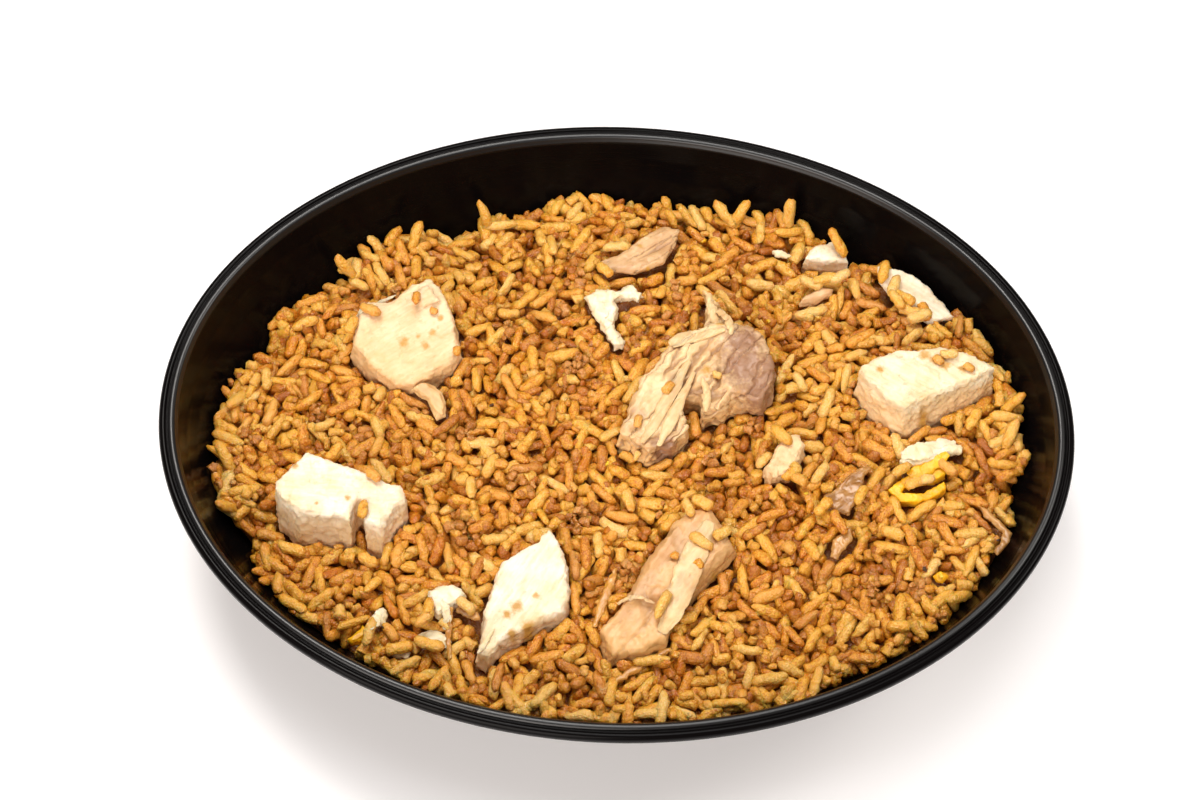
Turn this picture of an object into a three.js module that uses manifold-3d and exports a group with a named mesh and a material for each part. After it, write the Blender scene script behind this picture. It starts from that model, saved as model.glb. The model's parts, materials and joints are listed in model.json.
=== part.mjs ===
// A black oval bowl of chicken fried rice: loose golden long-grain rice, with cut chicken,
// pieces of cooked egg and a few soft onion shreds lying on it.
// Millimetres, +Z up. The origin is on the table under the middle of the bowl, +X along its long axis.

import * as THREE from 'three';
import { mergeVertices } from 'three/addons/utils/BufferGeometryUtils.js';
import { ConvexHull } from 'three/addons/math/ConvexHull.js';
import Module from 'manifold-3d';

const wasm = await Module();
wasm.setup();

// Bowl: an oval that steps in by one inset all round, so a level is named by its inset from the rim
const RIM_LONG = 222;
const RIM_SHORT = 170.8;
const BOWL_HEIGHT = 45;
const BOWL_SIDES = 48;
const WALL = 3;
const BOWL_DEPTH = 38.5;
const WALL_SLOPE = 0.28;
const WALL_CURVE = 23.6;
const FOOT_WIDTH = 3.2;
const FOOT_EASE = 0.8;

// Depths below the rim at which the wall has a ring of corners, inside and outside
const INNER_LEVELS = [1.4, 8, 15, 20, 25, 31, 35.5];
const OUTER_LEVELS = [3.6, 8, 16, 23, 29, 34, 37.2];

// Lip, from the inside out: a round bead, a fine groove and a flat band
const BEAD_WIDTH = 2;
const GROOVE_WIDTH = 0.5;
const GROOVE_DEPTH = 0.7;
const BAND_WIDTH = 1.7;
const BAND_DROP = 0.3;
const LIP_FACE = 2.6;
const LIP_WIDTH = BEAD_WIDTH + GROOVE_WIDTH + BAND_WIDTH;

// Rice: a low mound whose uneven edge is piled up at the right and dips where bare wall shows
const MOUND_TOP = 32.5;
const MOUND_ROUND = 3;
const EDGE_HEIGHT = 26.8;
const EDGE_POINTS = 96;
const EDGE_WAVES = [
  { at: 18, lift: 4.4, wide: 28 },
  { at: 54, lift: -3, wide: 4 },
  { at: 65, lift: 3.6, wide: 5 },
  { at: 108, lift: -2.5, wide: 4 },
  { at: 118, lift: -5, wide: 5 },
  { at: 142, lift: -4, wide: 4 },
  { at: 160, lift: -5.5, wide: 5 },
  { at: 188, lift: 1.6, wide: 9 },
  { at: 203, lift: -4.5, wide: 4 },
  { at: 229, lift: -3.5, wide: 5 },
  { at: 306, lift: -3, wide: 5 },
  { at: 340, lift: 1.5, wide: 7 },
  { at: 354, lift: -5, wide: 4 },
];
const SWELL = 0.9;
const RICE_ROWS = 2;

// Grains in the mound's surface, with furrows between them, out to a share of its reach
const GRAIN_LENGTH = [6.6, 9.4];
const GRAIN_WIDTH = 3;
const GRAIN_SPACING = 3.8;
const GRAIN_TRIES = 9000;
const GRAIN_CROWN = 1.1;
const TIP_CROWN = 0.66;
const GRAIN_LIFT = 1.6;
const GRAIN_SLANT = 1.4;
const FURROW_SPACING = 3.2;
const FURROW_TRIES = 14000;
const FURROW_DEPTH = [0.7, 1.7];
const RELIEF_REACH = 0.965;

// Whole grains that lie on the mound
const LOOSE_GRAINS = 25;
const LOOSE_TRIES = 6000;
const LOOSE_SPACING = 16;
const LOOSE_MARGIN = 3;
const LOOSE_HEIGHT = 1.1;
const LOOSE_PITCH = 0.7;
const GRAIN_SIDES = 5;
const GRAIN_END = 0.42;

// Gaps between pieces that touch, and the easing of cut edges
const GAP = 0.35;
const BOWL_GAP = 0.6;
const EASE = 0.7;
const SKY = 70;

// The same draws each time, from a seed.
function seeded(seed) {
  let state = seed;
  return () => {
    state = (state + 0x6d2b79f5) | 0;
    let t = Math.imul(state ^ (state >>> 15), 1 | state);
    t = (t + Math.imul(t ^ (t >>> 7), 61 | t)) ^ t;
    return ((t ^ (t >>> 14)) >>> 0) / 4294967296;
  };
}

// Triangles of a level outline, all counter-clockwise from above.
function flatTriangles(ring) {
  const flat = ring.map((p) => new THREE.Vector2(p.x, p.y));
  return THREE.ShapeUtils.triangulateShape(flat, []).map((face) => {
    const clockwise = THREE.ShapeUtils.area(face.map((k) => flat[k])) < 0;
    return clockwise ? [...face].reverse() : face;
  });
}

// A closed surface through rings of equal count, counter-clockwise from above, the lowest face first.
function skin(rings) {
  const sides = rings[0].length;
  const index = [];
  for (let r = 0; r + 1 < rings.length; r++) {
    for (let k = 0; k < sides; k++) {
      const a = r * sides + k;
      const b = r * sides + ((k + 1) % sides);
      index.push(a, b, b + sides, a, b + sides, a + sides);
    }
  }
  const last = (rings.length - 1) * sides;
  for (const [a, b, c] of flatTriangles(rings[0])) index.push(c, b, a);
  for (const [a, b, c] of flatTriangles(rings.at(-1))) index.push(last + a, last + b, last + c);
  return indexed(rings.flat(), index);
}

function indexed(points, index) {
  const geometry = new THREE.BufferGeometry().setFromPoints(points);
  geometry.setIndex(index);
  return geometry;
}

// A geometry as a solid for cuts and joins, and back.
function solidOf(geometry) {
  const merged = mergeVertices(geometry, 1e-5);
  const vertProperties = new Float32Array(merged.attributes.position.array);
  const triVerts = new Uint32Array(merged.index.array);
  return new wasm.Manifold(new wasm.Mesh({ numProp: 3, vertProperties, triVerts }));
}

function geometryOf(solid) {
  const mesh = solid.getMesh();
  const geometry = new THREE.BufferGeometry();
  geometry.setAttribute('position', new THREE.BufferAttribute(mesh.vertProperties, 3));
  geometry.setIndex(new THREE.BufferAttribute(mesh.triVerts, 1));
  return geometry;
}

// The largest body of a solid, without scraps that a cut left loose.
function largestBody(solid) {
  return solid.decompose().reduce((best, body) => (body.volume() > best.volume() ? body : best));
}

// Bowl

// How far the inside of the wall lies within the rim, at a depth below it.
function wallInset(depth) {
  const bend = 1 - Math.sqrt(1 - Math.min(1, depth / BOWL_DEPTH) ** 3);
  return LIP_WIDTH + WALL_SLOPE * depth + WALL_CURVE * bend;
}

// The outside of the wall faces the inside at one thickness.
function outerWall(depth) {
  const step = 0.01;
  const slope = (wallInset(depth) - wallInset(depth - step)) / step;
  const long = Math.hypot(1, slope);
  return [wallInset(depth) - WALL / long, BOWL_HEIGHT - depth - (WALL * slope) / long];
}

function ovalPoint(inset, height, turn) {
  const x = (RIM_LONG / 2 - inset) * Math.cos(turn);
  const y = (RIM_SHORT / 2 - inset) * Math.sin(turn);
  return new THREE.Vector3(x, y, height);
}

function ovalRing([inset, height]) {
  const turns = Array.from({ length: BOWL_SIDES }, (_, k) => (2 * Math.PI * k) / BOWL_SIDES);
  return turns.map((turn) => ovalPoint(inset, height, turn));
}

function bowl() {
  const underside = BOWL_HEIGHT - BOWL_DEPTH - WALL;
  const footInset = wallInset(BOWL_DEPTH) + 1;
  const foot = [
    [footInset + FOOT_WIDTH, underside],
    [footInset + FOOT_WIDTH - 0.3, FOOT_EASE],
    [footInset + FOOT_WIDTH - 0.6, 0],
    [footInset, 0],
    [footInset - 0.5, FOOT_EASE],
    [footInset - 0.9, underside],
  ];
  const outside = OUTER_LEVELS.map(outerWall).reverse();
  const lip = [
    [0.5, BOWL_HEIGHT - BAND_DROP - LIP_FACE],
    [0, BOWL_HEIGHT - BAND_DROP - LIP_FACE + 0.5],
    [0, BOWL_HEIGHT - BAND_DROP - 0.6],
    [0.5, BOWL_HEIGHT - BAND_DROP],
    [BAND_WIDTH - 0.1, BOWL_HEIGHT - BAND_DROP - 0.1],
    [BAND_WIDTH, BOWL_HEIGHT - GROOVE_DEPTH],
    [BAND_WIDTH + GROOVE_WIDTH, BOWL_HEIGHT - GROOVE_DEPTH],
    [BAND_WIDTH + GROOVE_WIDTH + 0.3, BOWL_HEIGHT - 0.2],
    [LIP_WIDTH - 0.9, BOWL_HEIGHT],
    [LIP_WIDTH - 0.2, BOWL_HEIGHT - 0.35],
  ];
  const wall = [...INNER_LEVELS, BOWL_DEPTH].map((depth) => [wallInset(depth), BOWL_HEIGHT - depth]);
  return skin([...foot, ...outside, ...lip, ...wall].map(ovalRing));
}

// Rice

// Height of the rice where it meets the wall, at a turn round the oval.
function edgeHeight(turn) {
  const ripple = 0.7 * Math.sin(3 * turn + 1) + 0.5 * Math.sin(11 * turn + 2);
  const lifts = EDGE_WAVES.map(({ at, lift, wide }) => {
    const away = THREE.MathUtils.euclideanModulo(THREE.MathUtils.radToDeg(turn) - at + 180, 360) - 180;
    return lift * Math.exp(-((away / wide) ** 2));
  });
  return EDGE_HEIGHT + ripple + lifts.reduce((sum, lift) => sum + lift, 0);
}

function riceInset(turn) {
  return wallInset(BOWL_HEIGHT - edgeHeight(turn)) + BOWL_GAP;
}

// 0 in the middle of the rice and 1 at its edge.
function reach(x, y) {
  const turn = Math.atan2(y / RIM_SHORT, x / RIM_LONG);
  const inset = riceInset(turn);
  return { share: Math.hypot(x / (RIM_LONG / 2 - inset), y / (RIM_SHORT / 2 - inset)), turn };
}

function mound(x, y) {
  const { share, turn } = reach(x, y);
  const edge = edgeHeight(turn);
  const swell = SWELL * Math.sin(x / 15 + 1) * Math.cos(y / 12 - 0.5) * Math.max(0, 1 - share ** 2);
  return MOUND_TOP - (MOUND_TOP - edge) * Math.min(1, share) ** MOUND_ROUND + swell;
}

// Triangles between points seen from above, so that no corner falls inside another's circle:
// the underside of the hull of the points lifted onto a paraboloid.
function triangulate(points) {
  const order = new Map();
  const lifted = points.map((p, k) => {
    const high = new THREE.Vector3(p.x, p.y, (p.x * p.x + p.y * p.y) / RIM_LONG);
    order.set(high, k);
    return high;
  });
  const lower = new ConvexHull().setFromPoints(lifted).faces.filter((face) => face.normal.z < 0);
  return lower.map(({ edge }) => {
    const corners = [edge, edge.next, edge.next.next].map((side) => order.get(side.head().point));
    const flat = corners.map((k) => new THREE.Vector2(points[k].x, points[k].y));
    return THREE.ShapeUtils.area(flat) < 0 ? corners.reverse() : corners;
  });
}

function inside(point, outline) {
  let odd = false;
  for (let k = 0; k < outline.length; k++) {
    const a = outline[k];
    const b = outline[(k + 1) % outline.length];
    const crosses = a.y > point.y !== b.y > point.y;
    if (crosses && point.x < a.x + ((b.x - a.x) * (point.y - a.y)) / (b.y - a.y)) odd = !odd;
  }
  return odd;
}

function distanceToGrain(point, grain) {
  const line = new THREE.Line3(grain.tips[0], grain.tips[1]);
  const nearest = line.closestPointToPoint(point, true, new THREE.Vector3());
  return Math.hypot(nearest.x - point.x, nearest.y - point.y);
}

// A grain lying level somewhere on the mound: its middle and its two rounded tips.
function layGrain(random, share) {
  for (;;) {
    const x = (random() - 0.5) * RIM_LONG;
    const y = (random() - 0.5) * RIM_SHORT;
    const long = THREE.MathUtils.lerp(...GRAIN_LENGTH, random());
    const yaw = random() * Math.PI;
    const half = (long - GRAIN_WIDTH) / 2;
    const dx = Math.cos(yaw) * half;
    const dy = Math.sin(yaw) * half;
    const middle = new THREE.Vector3(x, y, 0);
    const tips = [new THREE.Vector3(x - dx, y - dy, 0), new THREE.Vector3(x + dx, y + dy, 0)];
    if (tips.every((tip) => reach(tip.x, tip.y).share < share)) return { middle, tips, long, yaw };
  }
}

// Grains that lie in the mound's surface, each as a ridge of three points.
function ridges(random, covered) {
  const grains = [];
  for (let tries = 0; tries < GRAIN_TRIES; tries++) {
    const grain = layGrain(random, RELIEF_REACH);
    const ridge = [grain.tips[0], grain.middle, grain.tips[1]];
    const free = (other) => ridge.every((p) => distanceToGrain(p, other) > GRAIN_SPACING);
    if (!ridge.some((p) => covered(p)) && grains.every(free)) {
      const lift = (random() - 0.5) * GRAIN_LIFT;
      const slant = (random() - 0.5) * GRAIN_SLANT;
      ridge.forEach((p, k) => {
        p.z = mound(p.x, p.y) + lift + slant * (k - 1) + (k === 1 ? GRAIN_CROWN : TIP_CROWN);
      });
      grains.push(grain);
    }
  }
  return grains;
}

// Points of the mound's surface: the ridges of its grains, and furrows between them.
function reliefPoints(random, covered) {
  const grains = ridges(random, covered);
  const furrows = [];
  for (let tries = 0; tries < FURROW_TRIES; tries++) {
    const p = new THREE.Vector3((random() - 0.5) * RIM_LONG, (random() - 0.5) * RIM_SHORT, 0);
    const apart = furrows.every((q) => Math.hypot(q.x - p.x, q.y - p.y) > FURROW_SPACING);
    const beside = grains.every((grain) => distanceToGrain(p, grain) > GRAIN_WIDTH / 2);
    if (apart && beside && reach(p.x, p.y).share < RELIEF_REACH && !covered(p)) {
      p.z = mound(p.x, p.y) - THREE.MathUtils.lerp(...FURROW_DEPTH, random());
      furrows.push(p);
    }
  }
  return [...grains.flatMap((grain) => [grain.tips[0], grain.middle, grain.tips[1]]), ...furrows];
}

// The body of the rice: grain relief on top, the bowl's own curve down the sides, a level base.
function riceBody(random, covered) {
  const turns = Array.from({ length: EDGE_POINTS }, (_, k) => (2 * Math.PI * k) / EDGE_POINTS);
  const edge = turns.map((turn) => ovalPoint(riceInset(turn), edgeHeight(turn), turn));
  const surface = [...edge, ...reliefPoints(random, covered)];
  const top = triangulate(surface).filter((corners) => {
    const centre = corners.reduce((sum, k) => sum.add(surface[k]), new THREE.Vector3()).divideScalar(3);
    return corners.some((k) => k >= EDGE_POINTS) || inside(centre, edge);
  });
  const rows = [...INNER_LEVELS.slice(-RICE_ROWS), BOWL_DEPTH].map((depth) => {
    const inset = wallInset(depth) + BOWL_GAP;
    const height = Math.max(BOWL_HEIGHT - depth, BOWL_HEIGHT - BOWL_DEPTH + BOWL_GAP);
    return turns.map((turn) => ovalPoint(inset, height, turn));
  });
  const index = top.flat();
  const rowStart = [0, ...rows.map((_, k) => surface.length + k * EDGE_POINTS)];
  for (let r = 0; r + 1 < rowStart.length; r++) {
    for (let k = 0; k < EDGE_POINTS; k++) {
      const next = (k + 1) % EDGE_POINTS;
      const [a, b] = [rowStart[r] + k, rowStart[r] + next];
      const [c, d] = [rowStart[r + 1] + k, rowStart[r + 1] + next];
      index.push(c, d, b, c, b, a);
    }
  }
  const base = rowStart.at(-1);
  for (const [a, b, c] of flatTriangles(rows.at(-1))) index.push(base + c, base + b, base + a);
  return solidOf(indexed([...surface, ...rows.flat()], index));
}

// One grain of cooked rice: a spindle with blunt ends, along its own Z before it is laid.
function grainShape(long) {
  const ring = (radius, height) =>
    Array.from({ length: GRAIN_SIDES }, (_, k) => {
      const turn = (2 * Math.PI * k) / GRAIN_SIDES;
      return new THREE.Vector3(radius * Math.cos(turn), radius * Math.sin(turn), height);
    });
  const belly = GRAIN_WIDTH / 2;
  return skin([ring(belly * GRAIN_END, -long / 2), ring(belly, 0), ring(belly * GRAIN_END, long / 2)]);
}

// Grains that stand proud of the mound, spread evenly.
function looseGrains(random, covered) {
  const laid = [];
  for (let tries = 0; tries < LOOSE_TRIES && laid.length < LOOSE_GRAINS; tries++) {
    const grain = layGrain(random, RELIEF_REACH);
    const clear = laid.every((other) => other.middle.distanceTo(grain.middle) > LOOSE_SPACING);
    const beside = [...grain.tips, grain.middle].some((p) => covered(p, LOOSE_MARGIN));
    if (clear && !beside) laid.push(grain);
  }
  return laid.map(({ middle, long, yaw }) => {
    const pitch = (random() - 0.5) * LOOSE_PITCH;
    const lying = new THREE.Euler(0, Math.PI / 2 + pitch, yaw, 'ZYX');
    const place = new THREE.Matrix4().makeRotationFromEuler(lying);
    place.setPosition(middle.x, middle.y, mound(middle.x, middle.y) + LOOSE_HEIGHT);
    return solidOf(grainShape(long).applyMatrix4(place));
  });
}

// Toppings

function offset(outline, by) {
  return outline.map((p, k) => {
    const before = outline[(k + outline.length - 1) % outline.length];
    const after = outline[(k + 1) % outline.length];
    const a = p.clone().sub(before).normalize();
    const b = after.clone().sub(p).normalize();
    const out = new THREE.Vector2(a.y + b.y, -a.x - b.x);
    return p.clone().addScaledVector(out, by / Math.max(0.5, 1 + a.dot(b)));
  });
}

// A cut piece of food, from its outline seen from above: it is drawn up to a smaller, shifted top,
// both faces slope and wave alike, and its edges are eased.
// rise is how far the top stands above the rice, thick how far the underside lies below the top.
function cut(piece, at, { grow = 0, open = false } = {}) {
  const { outline, rise, thick, edge = EASE } = piece;
  const { taper = [1, 1], lean = [0, 0], slope = [0, 0], wave = 0 } = piece;
  const flat = outline.map(([x, y]) => new THREE.Vector2(x, y));
  const base = THREE.ShapeUtils.isClockWise(flat) ? [...flat].reverse() : flat;
  const crown = base.map((p) => new THREE.Vector2(p.x * taper[0] + lean[0], p.y * taper[1] + lean[1]));
  const ease = grow > 0 ? 0 : Math.min(edge, thick / 3);
  const top = mound(...at) + rise;
  const ring = (shape, by, height) =>
    offset(shape, by).map((p) => {
      const tip = slope[0] * p.x + slope[1] * p.y + wave * Math.sin(p.x / 2.2 + p.y / 3.1);
      return new THREE.Vector3(p.x + at[0], p.y + at[1], height + tip);
    });
  const rings = [ring(base, grow - ease, top - thick - grow)];
  if (ease > 0) rings.push(ring(base, 0, top - thick + ease), ring(crown, 0, top - ease));
  rings.push(ring(crown, grow - ease, top + grow));
  if (open) rings.push(ring(crown, grow, SKY));
  return solidOf(skin(rings));
}

function joined(topping, options) {
  const solids = topping.pieces.map((piece) => cut(piece, topping.at, options));
  return solids.reduce((all, one) => all.add(one));
}

const WHITE_MEAT = '#efe2cc';
const BROWN_MEAT = '#cfae86';
const EGG_WHITE = '#f4efe6';
const EGG_YOLK = '#e2ab1c';
const ONION = '#c4a684';

const toppings = [
  {
    name: 'chicken_chunk_back_left',
    colour: WHITE_MEAT,
    at: [-52.9, 25.4],
    pieces: [
      {
        outline: [
          [4.9, 15.5], [9.6, 9.6], [11.7, 4.2], [14.2, -5.7], [11.2, -8.8], [2, -15.4], [-3.8, -14],
          [-9.9, -9.7], [-15, -3.4], [-14.3, 2.2], [-12, 8.2], [-5.2, 8.6], [-0.6, 13.3],
        ],
        rise: 6.2,
        thick: 10,
        taper: [0.93, 0.92],
        slope: [0.03, 0.2],
      },
      {
        outline: [[4.2, 13], [8.6, 8], [3.4, 6.5], [-0.3, 10]],
        rise: 7.6,
        thick: 5,
        taper: [0.9, 0.9],
        slope: [0.05, 0.2],
      },
    ],
  },
  {
    name: 'chicken_chunk_front_left',
    colour: WHITE_MEAT,
    at: [-65.7, -23.3],
    pieces: [
      {
        outline: [
          [-9.5, 12.5], [-4, 10.5], [2.5, 8], [9, 6], [12, 3.5], [16, 3], [17, -2], [14.5, -5],
          [11.2, -11], [7.1, -9.5], [6.9, -4.3], [5, -1.6], [4, -4.4], [3.6, -9.8], [-1, -8],
          [-9.5, -7.5], [-15, -3], [-16.5, 1.5], [-13, 6.5],
        ],
        rise: 11,
        thick: 15,
        taper: [0.94, 0.8],
        lean: [0, 1.8],
        slope: [-0.03, 0.07],
      },
    ],
  },
  {
    name: 'chicken_chunk_right',
    colour: WHITE_MEAT,
    at: [74.2, 15.3],
    pieces: [
      {
        outline: [
          [5, 10], [11, 8.5], [19, 3.2], [17, 1], [12.5, -2], [2.5, -8], [-4.5, -12], [-9, -8.5],
          [-13, -3.5], [-16, 0.5], [-15, 2.5], [-12, 5], [-6.5, 8], [0, 8.5],
        ],
        rise: 9.2,
        thick: 13.6,
        taper: [0.95, 0.78],
        lean: [0.4, 1.9],
        slope: [0.02, 0.05],
      },
    ],
  },
  {
    name: 'chicken_slab_front',
    colour: WHITE_MEAT,
    at: [-19.6, -45],
    pieces: [
      {
        outline: [
          [5, 16.5], [8, 13.5], [10, 7.5], [11, 0], [10, -4.5], [4, -7.5], [-0.5, -10.5], [-5, -13],
          [-8, -17.5], [-11, -16], [-10, -10], [-10, -5.5], [-8, 2], [-7, 7], [-2, 10.5], [2, 13.5],
        ],
        rise: 5,
        thick: 8,
        taper: [0.94, 0.95],
        lean: [0.3, 0.3],
        slope: [0, 0.13],
      },
    ],
  },
  {
    name: 'chicken_slab_middle',
    colour: BROWN_MEAT,
    at: [19.3, 14],
    pieces: [
      {
        outline: [
          [8, 17], [13.5, 15.5], [17.5, 12.5], [19.5, 5], [19, -2], [16.5, -6.5], [9.5, -5.5],
          [6.5, -9], [1.8, -10.5], [1.1, -5.4], [-3.8, -6.2], [-3.4, -10.5], [-1.5, -14.5], [-5, -19],
          [-11.5, -21.5], [-19, -17], [-17.5, -11], [-14.5, -2], [-9.5, 5.5], [-7.5, 9.5], [-2, 14],
        ],
        rise: 7.5,
        thick: 9.5,
        taper: [0.95, 0.95],
        slope: [0.02, 0.03],
      },
      {
        outline: [
          [8.1, 14.3], [13.3, 14.6], [17, 12], [18.4, 4.9], [18.2, -2], [16, -5.8], [9.1, -5.2],
          [6.3, -0.9], [5.5, 7.7],
        ],
        rise: 8.7,
        thick: 6,
        taper: [0.9, 0.92],
        slope: [-0.04, 0.03],
      },
      {
        outline: [
          [0.8, 27.9], [2.6, 26.8], [5, 24.4], [8.4, 19], [7.6, 13], [0, 13.5], [2, 19], [1.6, 24],
        ],
        rise: 5.2,
        thick: 4.5,
        taper: [0.85, 0.97],
        slope: [0, 0.02],
      },
    ],
  },
  {
    name: 'chicken_strip_front',
    colour: BROWN_MEAT,
    at: [14.5, -39.8],
    pieces: [
      {
        outline: [
          [1, 16], [9, 21], [12.5, 16.5], [16, 9.5], [11, 3], [6, -3], [1.5, -9], [0, -15.5],
          [-6, -18.5], [-13.5, -20], [-16.5, -13.5], [-11.5, -6.5], [-6, 4.5], [-2, 11.5],
        ],
        rise: 4.3,
        thick: 6.6,
        taper: [0.93, 0.95],
        slope: [0, 0.11],
      },
      {
        outline: [
          [1, 15], [8.6, 19.6], [12, 16], [14.5, 9.5], [10, 3], [5.6, -2.2], [-0.7, -6],
          [-10.6, -7], [-5.4, 4.2], [-1.6, 10.8],
        ],
        rise: 5.5,
        thick: 3.6,
        taper: [0.93, 0.95],
        slope: [0, 0.08],
      },
    ],
  },
  {
    name: 'chicken_slice_back',
    colour: BROWN_MEAT,
    at: [4.6, 54.3],
    pieces: [
      {
        outline: [
          [-12, -3.5], [-6, -0.5], [0, 5], [4.5, 9], [9, 8], [8, 3], [5, -3.5], [-2, -6.5], [-10, -6],
        ],
        rise: 3.4,
        thick: 1.8,
        slope: [0.01, -0.04],
        wave: 0.35,
      },
    ],
  },
  {
    name: 'chicken_bit_middle',
    colour: WHITE_MEAT,
    at: [41.8, -4.3],
    pieces: [
      {
        outline: [
          [-3, 2], [-0.5, 6.5], [3.5, 7], [5, 3.5], [4, -0.5], [1.5, -5], [-4, -7], [-6, -3.5],
          [-4, -1],
        ],
        rise: 4,
        thick: 5.5,
        taper: [0.85, 0.9],
      },
    ],
  },
  {
    name: 'chicken_bit_back_right',
    colour: WHITE_MEAT,
    at: [52, 57.2],
    pieces: [
      {
        outline: [
          [-7, -2], [-4.5, 2], [-1, 3], [1.5, 4.2], [3.5, 3.4], [5, 0.5], [5.5, -3], [-1, -3.5],
          [-6, -2.8],
        ],
        rise: 6.9,
        thick: 8.2,
        taper: [0.88, 0.85],
        slope: [0, 0.08],
      },
    ],
  },
  {
    name: 'chicken_slice_right_edge',
    colour: WHITE_MEAT,
    at: [75.2, 44.6],
    pieces: [
      {
        outline: [
          [-11, 8.2], [-6.5, 7.8], [-2, 6], [2, 2.8], [5.5, -1], [8.5, -5.2], [2.5, -7.6],
          [-2.5, -4.4], [-7.5, -0.2], [-10.5, 4],
        ],
        rise: 3.2,
        thick: 2.6,
        slope: [-0.03, 0.06],
      },
    ],
  },
  {
    name: 'chicken_flake_back_left',
    colour: BROWN_MEAT,
    at: [-46, 8.6],
    pieces: [
      {
        outline: [[-6, 4], [-1.5, 4.5], [2.5, 2], [4, -1.5], [4, -5], [1.5, -6], [-1, -1], [-5.5, 2]],
        rise: 2.8,
        thick: 2,
        taper: [0.9, 0.95],
        slope: [-0.04, 0.1],
      },
    ],
  },
  {
    name: 'chicken_shred_back_right',
    colour: BROWN_MEAT,
    at: [49.1, 44.2],
    pieces: [
      {
        outline: [[-5, -3.5], [-3.5, -1], [0.5, 2.5], [4.5, 2.5], [3.5, 0], [-1, -2.6]],
        rise: 2.8,
        thick: 2.6,
        taper: [0.9, 0.8],
      },
    ],
  },
  {
    name: 'egg_white_back',
    colour: EGG_WHITE,
    at: [-3.6, 36],
    pieces: [
      {
        outline: [
          [-6, 3.5], [-4, 5], [-1.9, 6], [1, 5.8], [2.6, 5.4], [4.5, 8.2], [6.6, 7], [8.8, 5.2],
          [7.8, 3], [5.2, 4.2], [1.5, 3], [2.6, 0], [1.7, -3], [2, -5.7], [4.4, -8], [4, -10.8],
          [2, -10.6], [-2.9, -2.6],
        ],
        rise: 3.4,
        thick: 3.2,
        taper: [0.96, 0.97],
        slope: [-0.02, 0.04],
      },
    ],
  },
  {
    name: 'egg_white_right',
    colour: EGG_WHITE,
    at: [76.6, -1.3],
    pieces: [
      {
        outline: [
          [-7, -2.6], [-5.5, -0.6], [-0.5, 1.2], [4, 2.4], [8.5, 3], [8.5, 1], [3.5, -0.4],
          [-2, -3], [-6, -3.9],
        ],
        rise: 3.2,
        thick: 2.4,
        wave: 0.25,
      },
    ],
  },
  {
    name: 'egg_yolk_right',
    colour: EGG_YOLK,
    at: [75.4, -8.3],
    pieces: [
      {
        outline: [
          [-8.6, -2.6], [-4.9, 0.6], [-1, 2.6], [2.4, 4.4], [5.6, 4.2], [5.6, 2.2], [3.2, 0.6],
          [-0.5, 0], [-4.3, -1.7], [-5.2, -3.2], [-0.6, -3.4], [3.2, -1.2], [5.4, 0.2], [5.8, -1.6],
          [3.2, -4], [-0.5, -5.6], [-5.4, -5.6],
        ],
        rise: 3.2,
        thick: 3.4,
        slope: [0, 0.05],
        edge: 0.3,
      },
    ],
  },
  {
    name: 'egg_white_left',
    colour: EGG_WHITE,
    at: [-54.4, -50],
    pieces: [
      {
        outline: [[0.5, 3], [2, 2], [2, -1.8], [-0.5, -2.5], [-2.6, -0.6], [-1, 1]],
        rise: 2.8,
        thick: 2.6,
      },
    ],
  },
  {
    name: 'egg_yolk_left',
    colour: EGG_YOLK,
    at: [-58.4, -53.8],
    pieces: [
      {
        outline: [[-3, -1.5], [-1, 0.5], [0.4, 2.6], [1.8, 1.4], [1.6, 0], [0, -2], [-2, -2.5]],
        rise: 2.4,
        thick: 3,
      },
    ],
  },
  {
    name: 'egg_white_front',
    colour: EGG_WHITE,
    at: [-38.8, -45.4],
    pieces: [
      {
        outline: [[-4, 1], [-1.5, 2.5], [2.5, 3], [5.5, 1], [5, -0.8], [2.2, -3.4], [-1, -6], [-3.6, -3]],
        rise: 3.6,
        thick: 3.6,
        taper: [0.9, 0.88],
      },
    ],
  },
  {
    name: 'egg_white_front_low',
    colour: EGG_WHITE,
    at: [-40.4, -55.6],
    pieces: [
      {
        outline: [[-4, 0.5], [-1, 2.5], [3.5, 1], [4, -1], [1, -2], [-3.5, -1.5]],
        rise: 2.4,
        thick: 2.6,
      },
    ],
  },
  {
    name: 'egg_crumb_front',
    colour: EGG_WHITE,
    at: [-48.4, -59.2],
    pieces: [
      { outline: [[-2.5, 0.5], [0, 1.5], [2.5, 0.5], [2, -1], [-1.5, -1]], rise: 2, thick: 2.4 },
    ],
  },
  {
    name: 'egg_crumb_right',
    colour: EGG_YOLK,
    at: [79.8, -32.8],
    pieces: [
      { outline: [[-2, 0], [0, 1.5], [2, 0], [0.5, -1.6], [-1, -1.2]], rise: 2.2, thick: 2.4 },
    ],
  },
  {
    name: 'egg_crumb_back',
    colour: EGG_WHITE,
    at: [40.2, 56.4],
    pieces: [
      { outline: [[-3, 0.2], [-0.5, 1.2], [2.5, -0.6], [1, -1.3], [-1.5, -0.8]], rise: 2.2, thick: 2 },
    ],
  },
  {
    name: 'onion_shred_front',
    colour: ONION,
    at: [-32.6, -49.2],
    pieces: [
      {
        outline: [[-3, 1.2], [-0.6, 1.4], [2.2, 0], [3.2, -2], [1.6, -2.4], [-1.4, -0.8], [-3.2, -0.2]],
        rise: 3,
        thick: 1.5,
        wave: 0.2,
      },
    ],
  },
  {
    name: 'onion_shred_middle',
    colour: ONION,
    at: [57.1, -13],
    pieces: [
      {
        outline: [
          [-6, -1.5], [-3.5, 0], [-0.5, 3.5], [3, 7], [6, 7.5], [4, 4.5], [3, -1], [0, -6.5],
          [-3.5, -5],
        ],
        rise: 2.8,
        thick: 1.5,
        slope: [0.02, 0.02],
        wave: 0.4,
      },
    ],
  },
  {
    name: 'onion_shred_front_right',
    colour: ONION,
    at: [56, -27.5],
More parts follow.
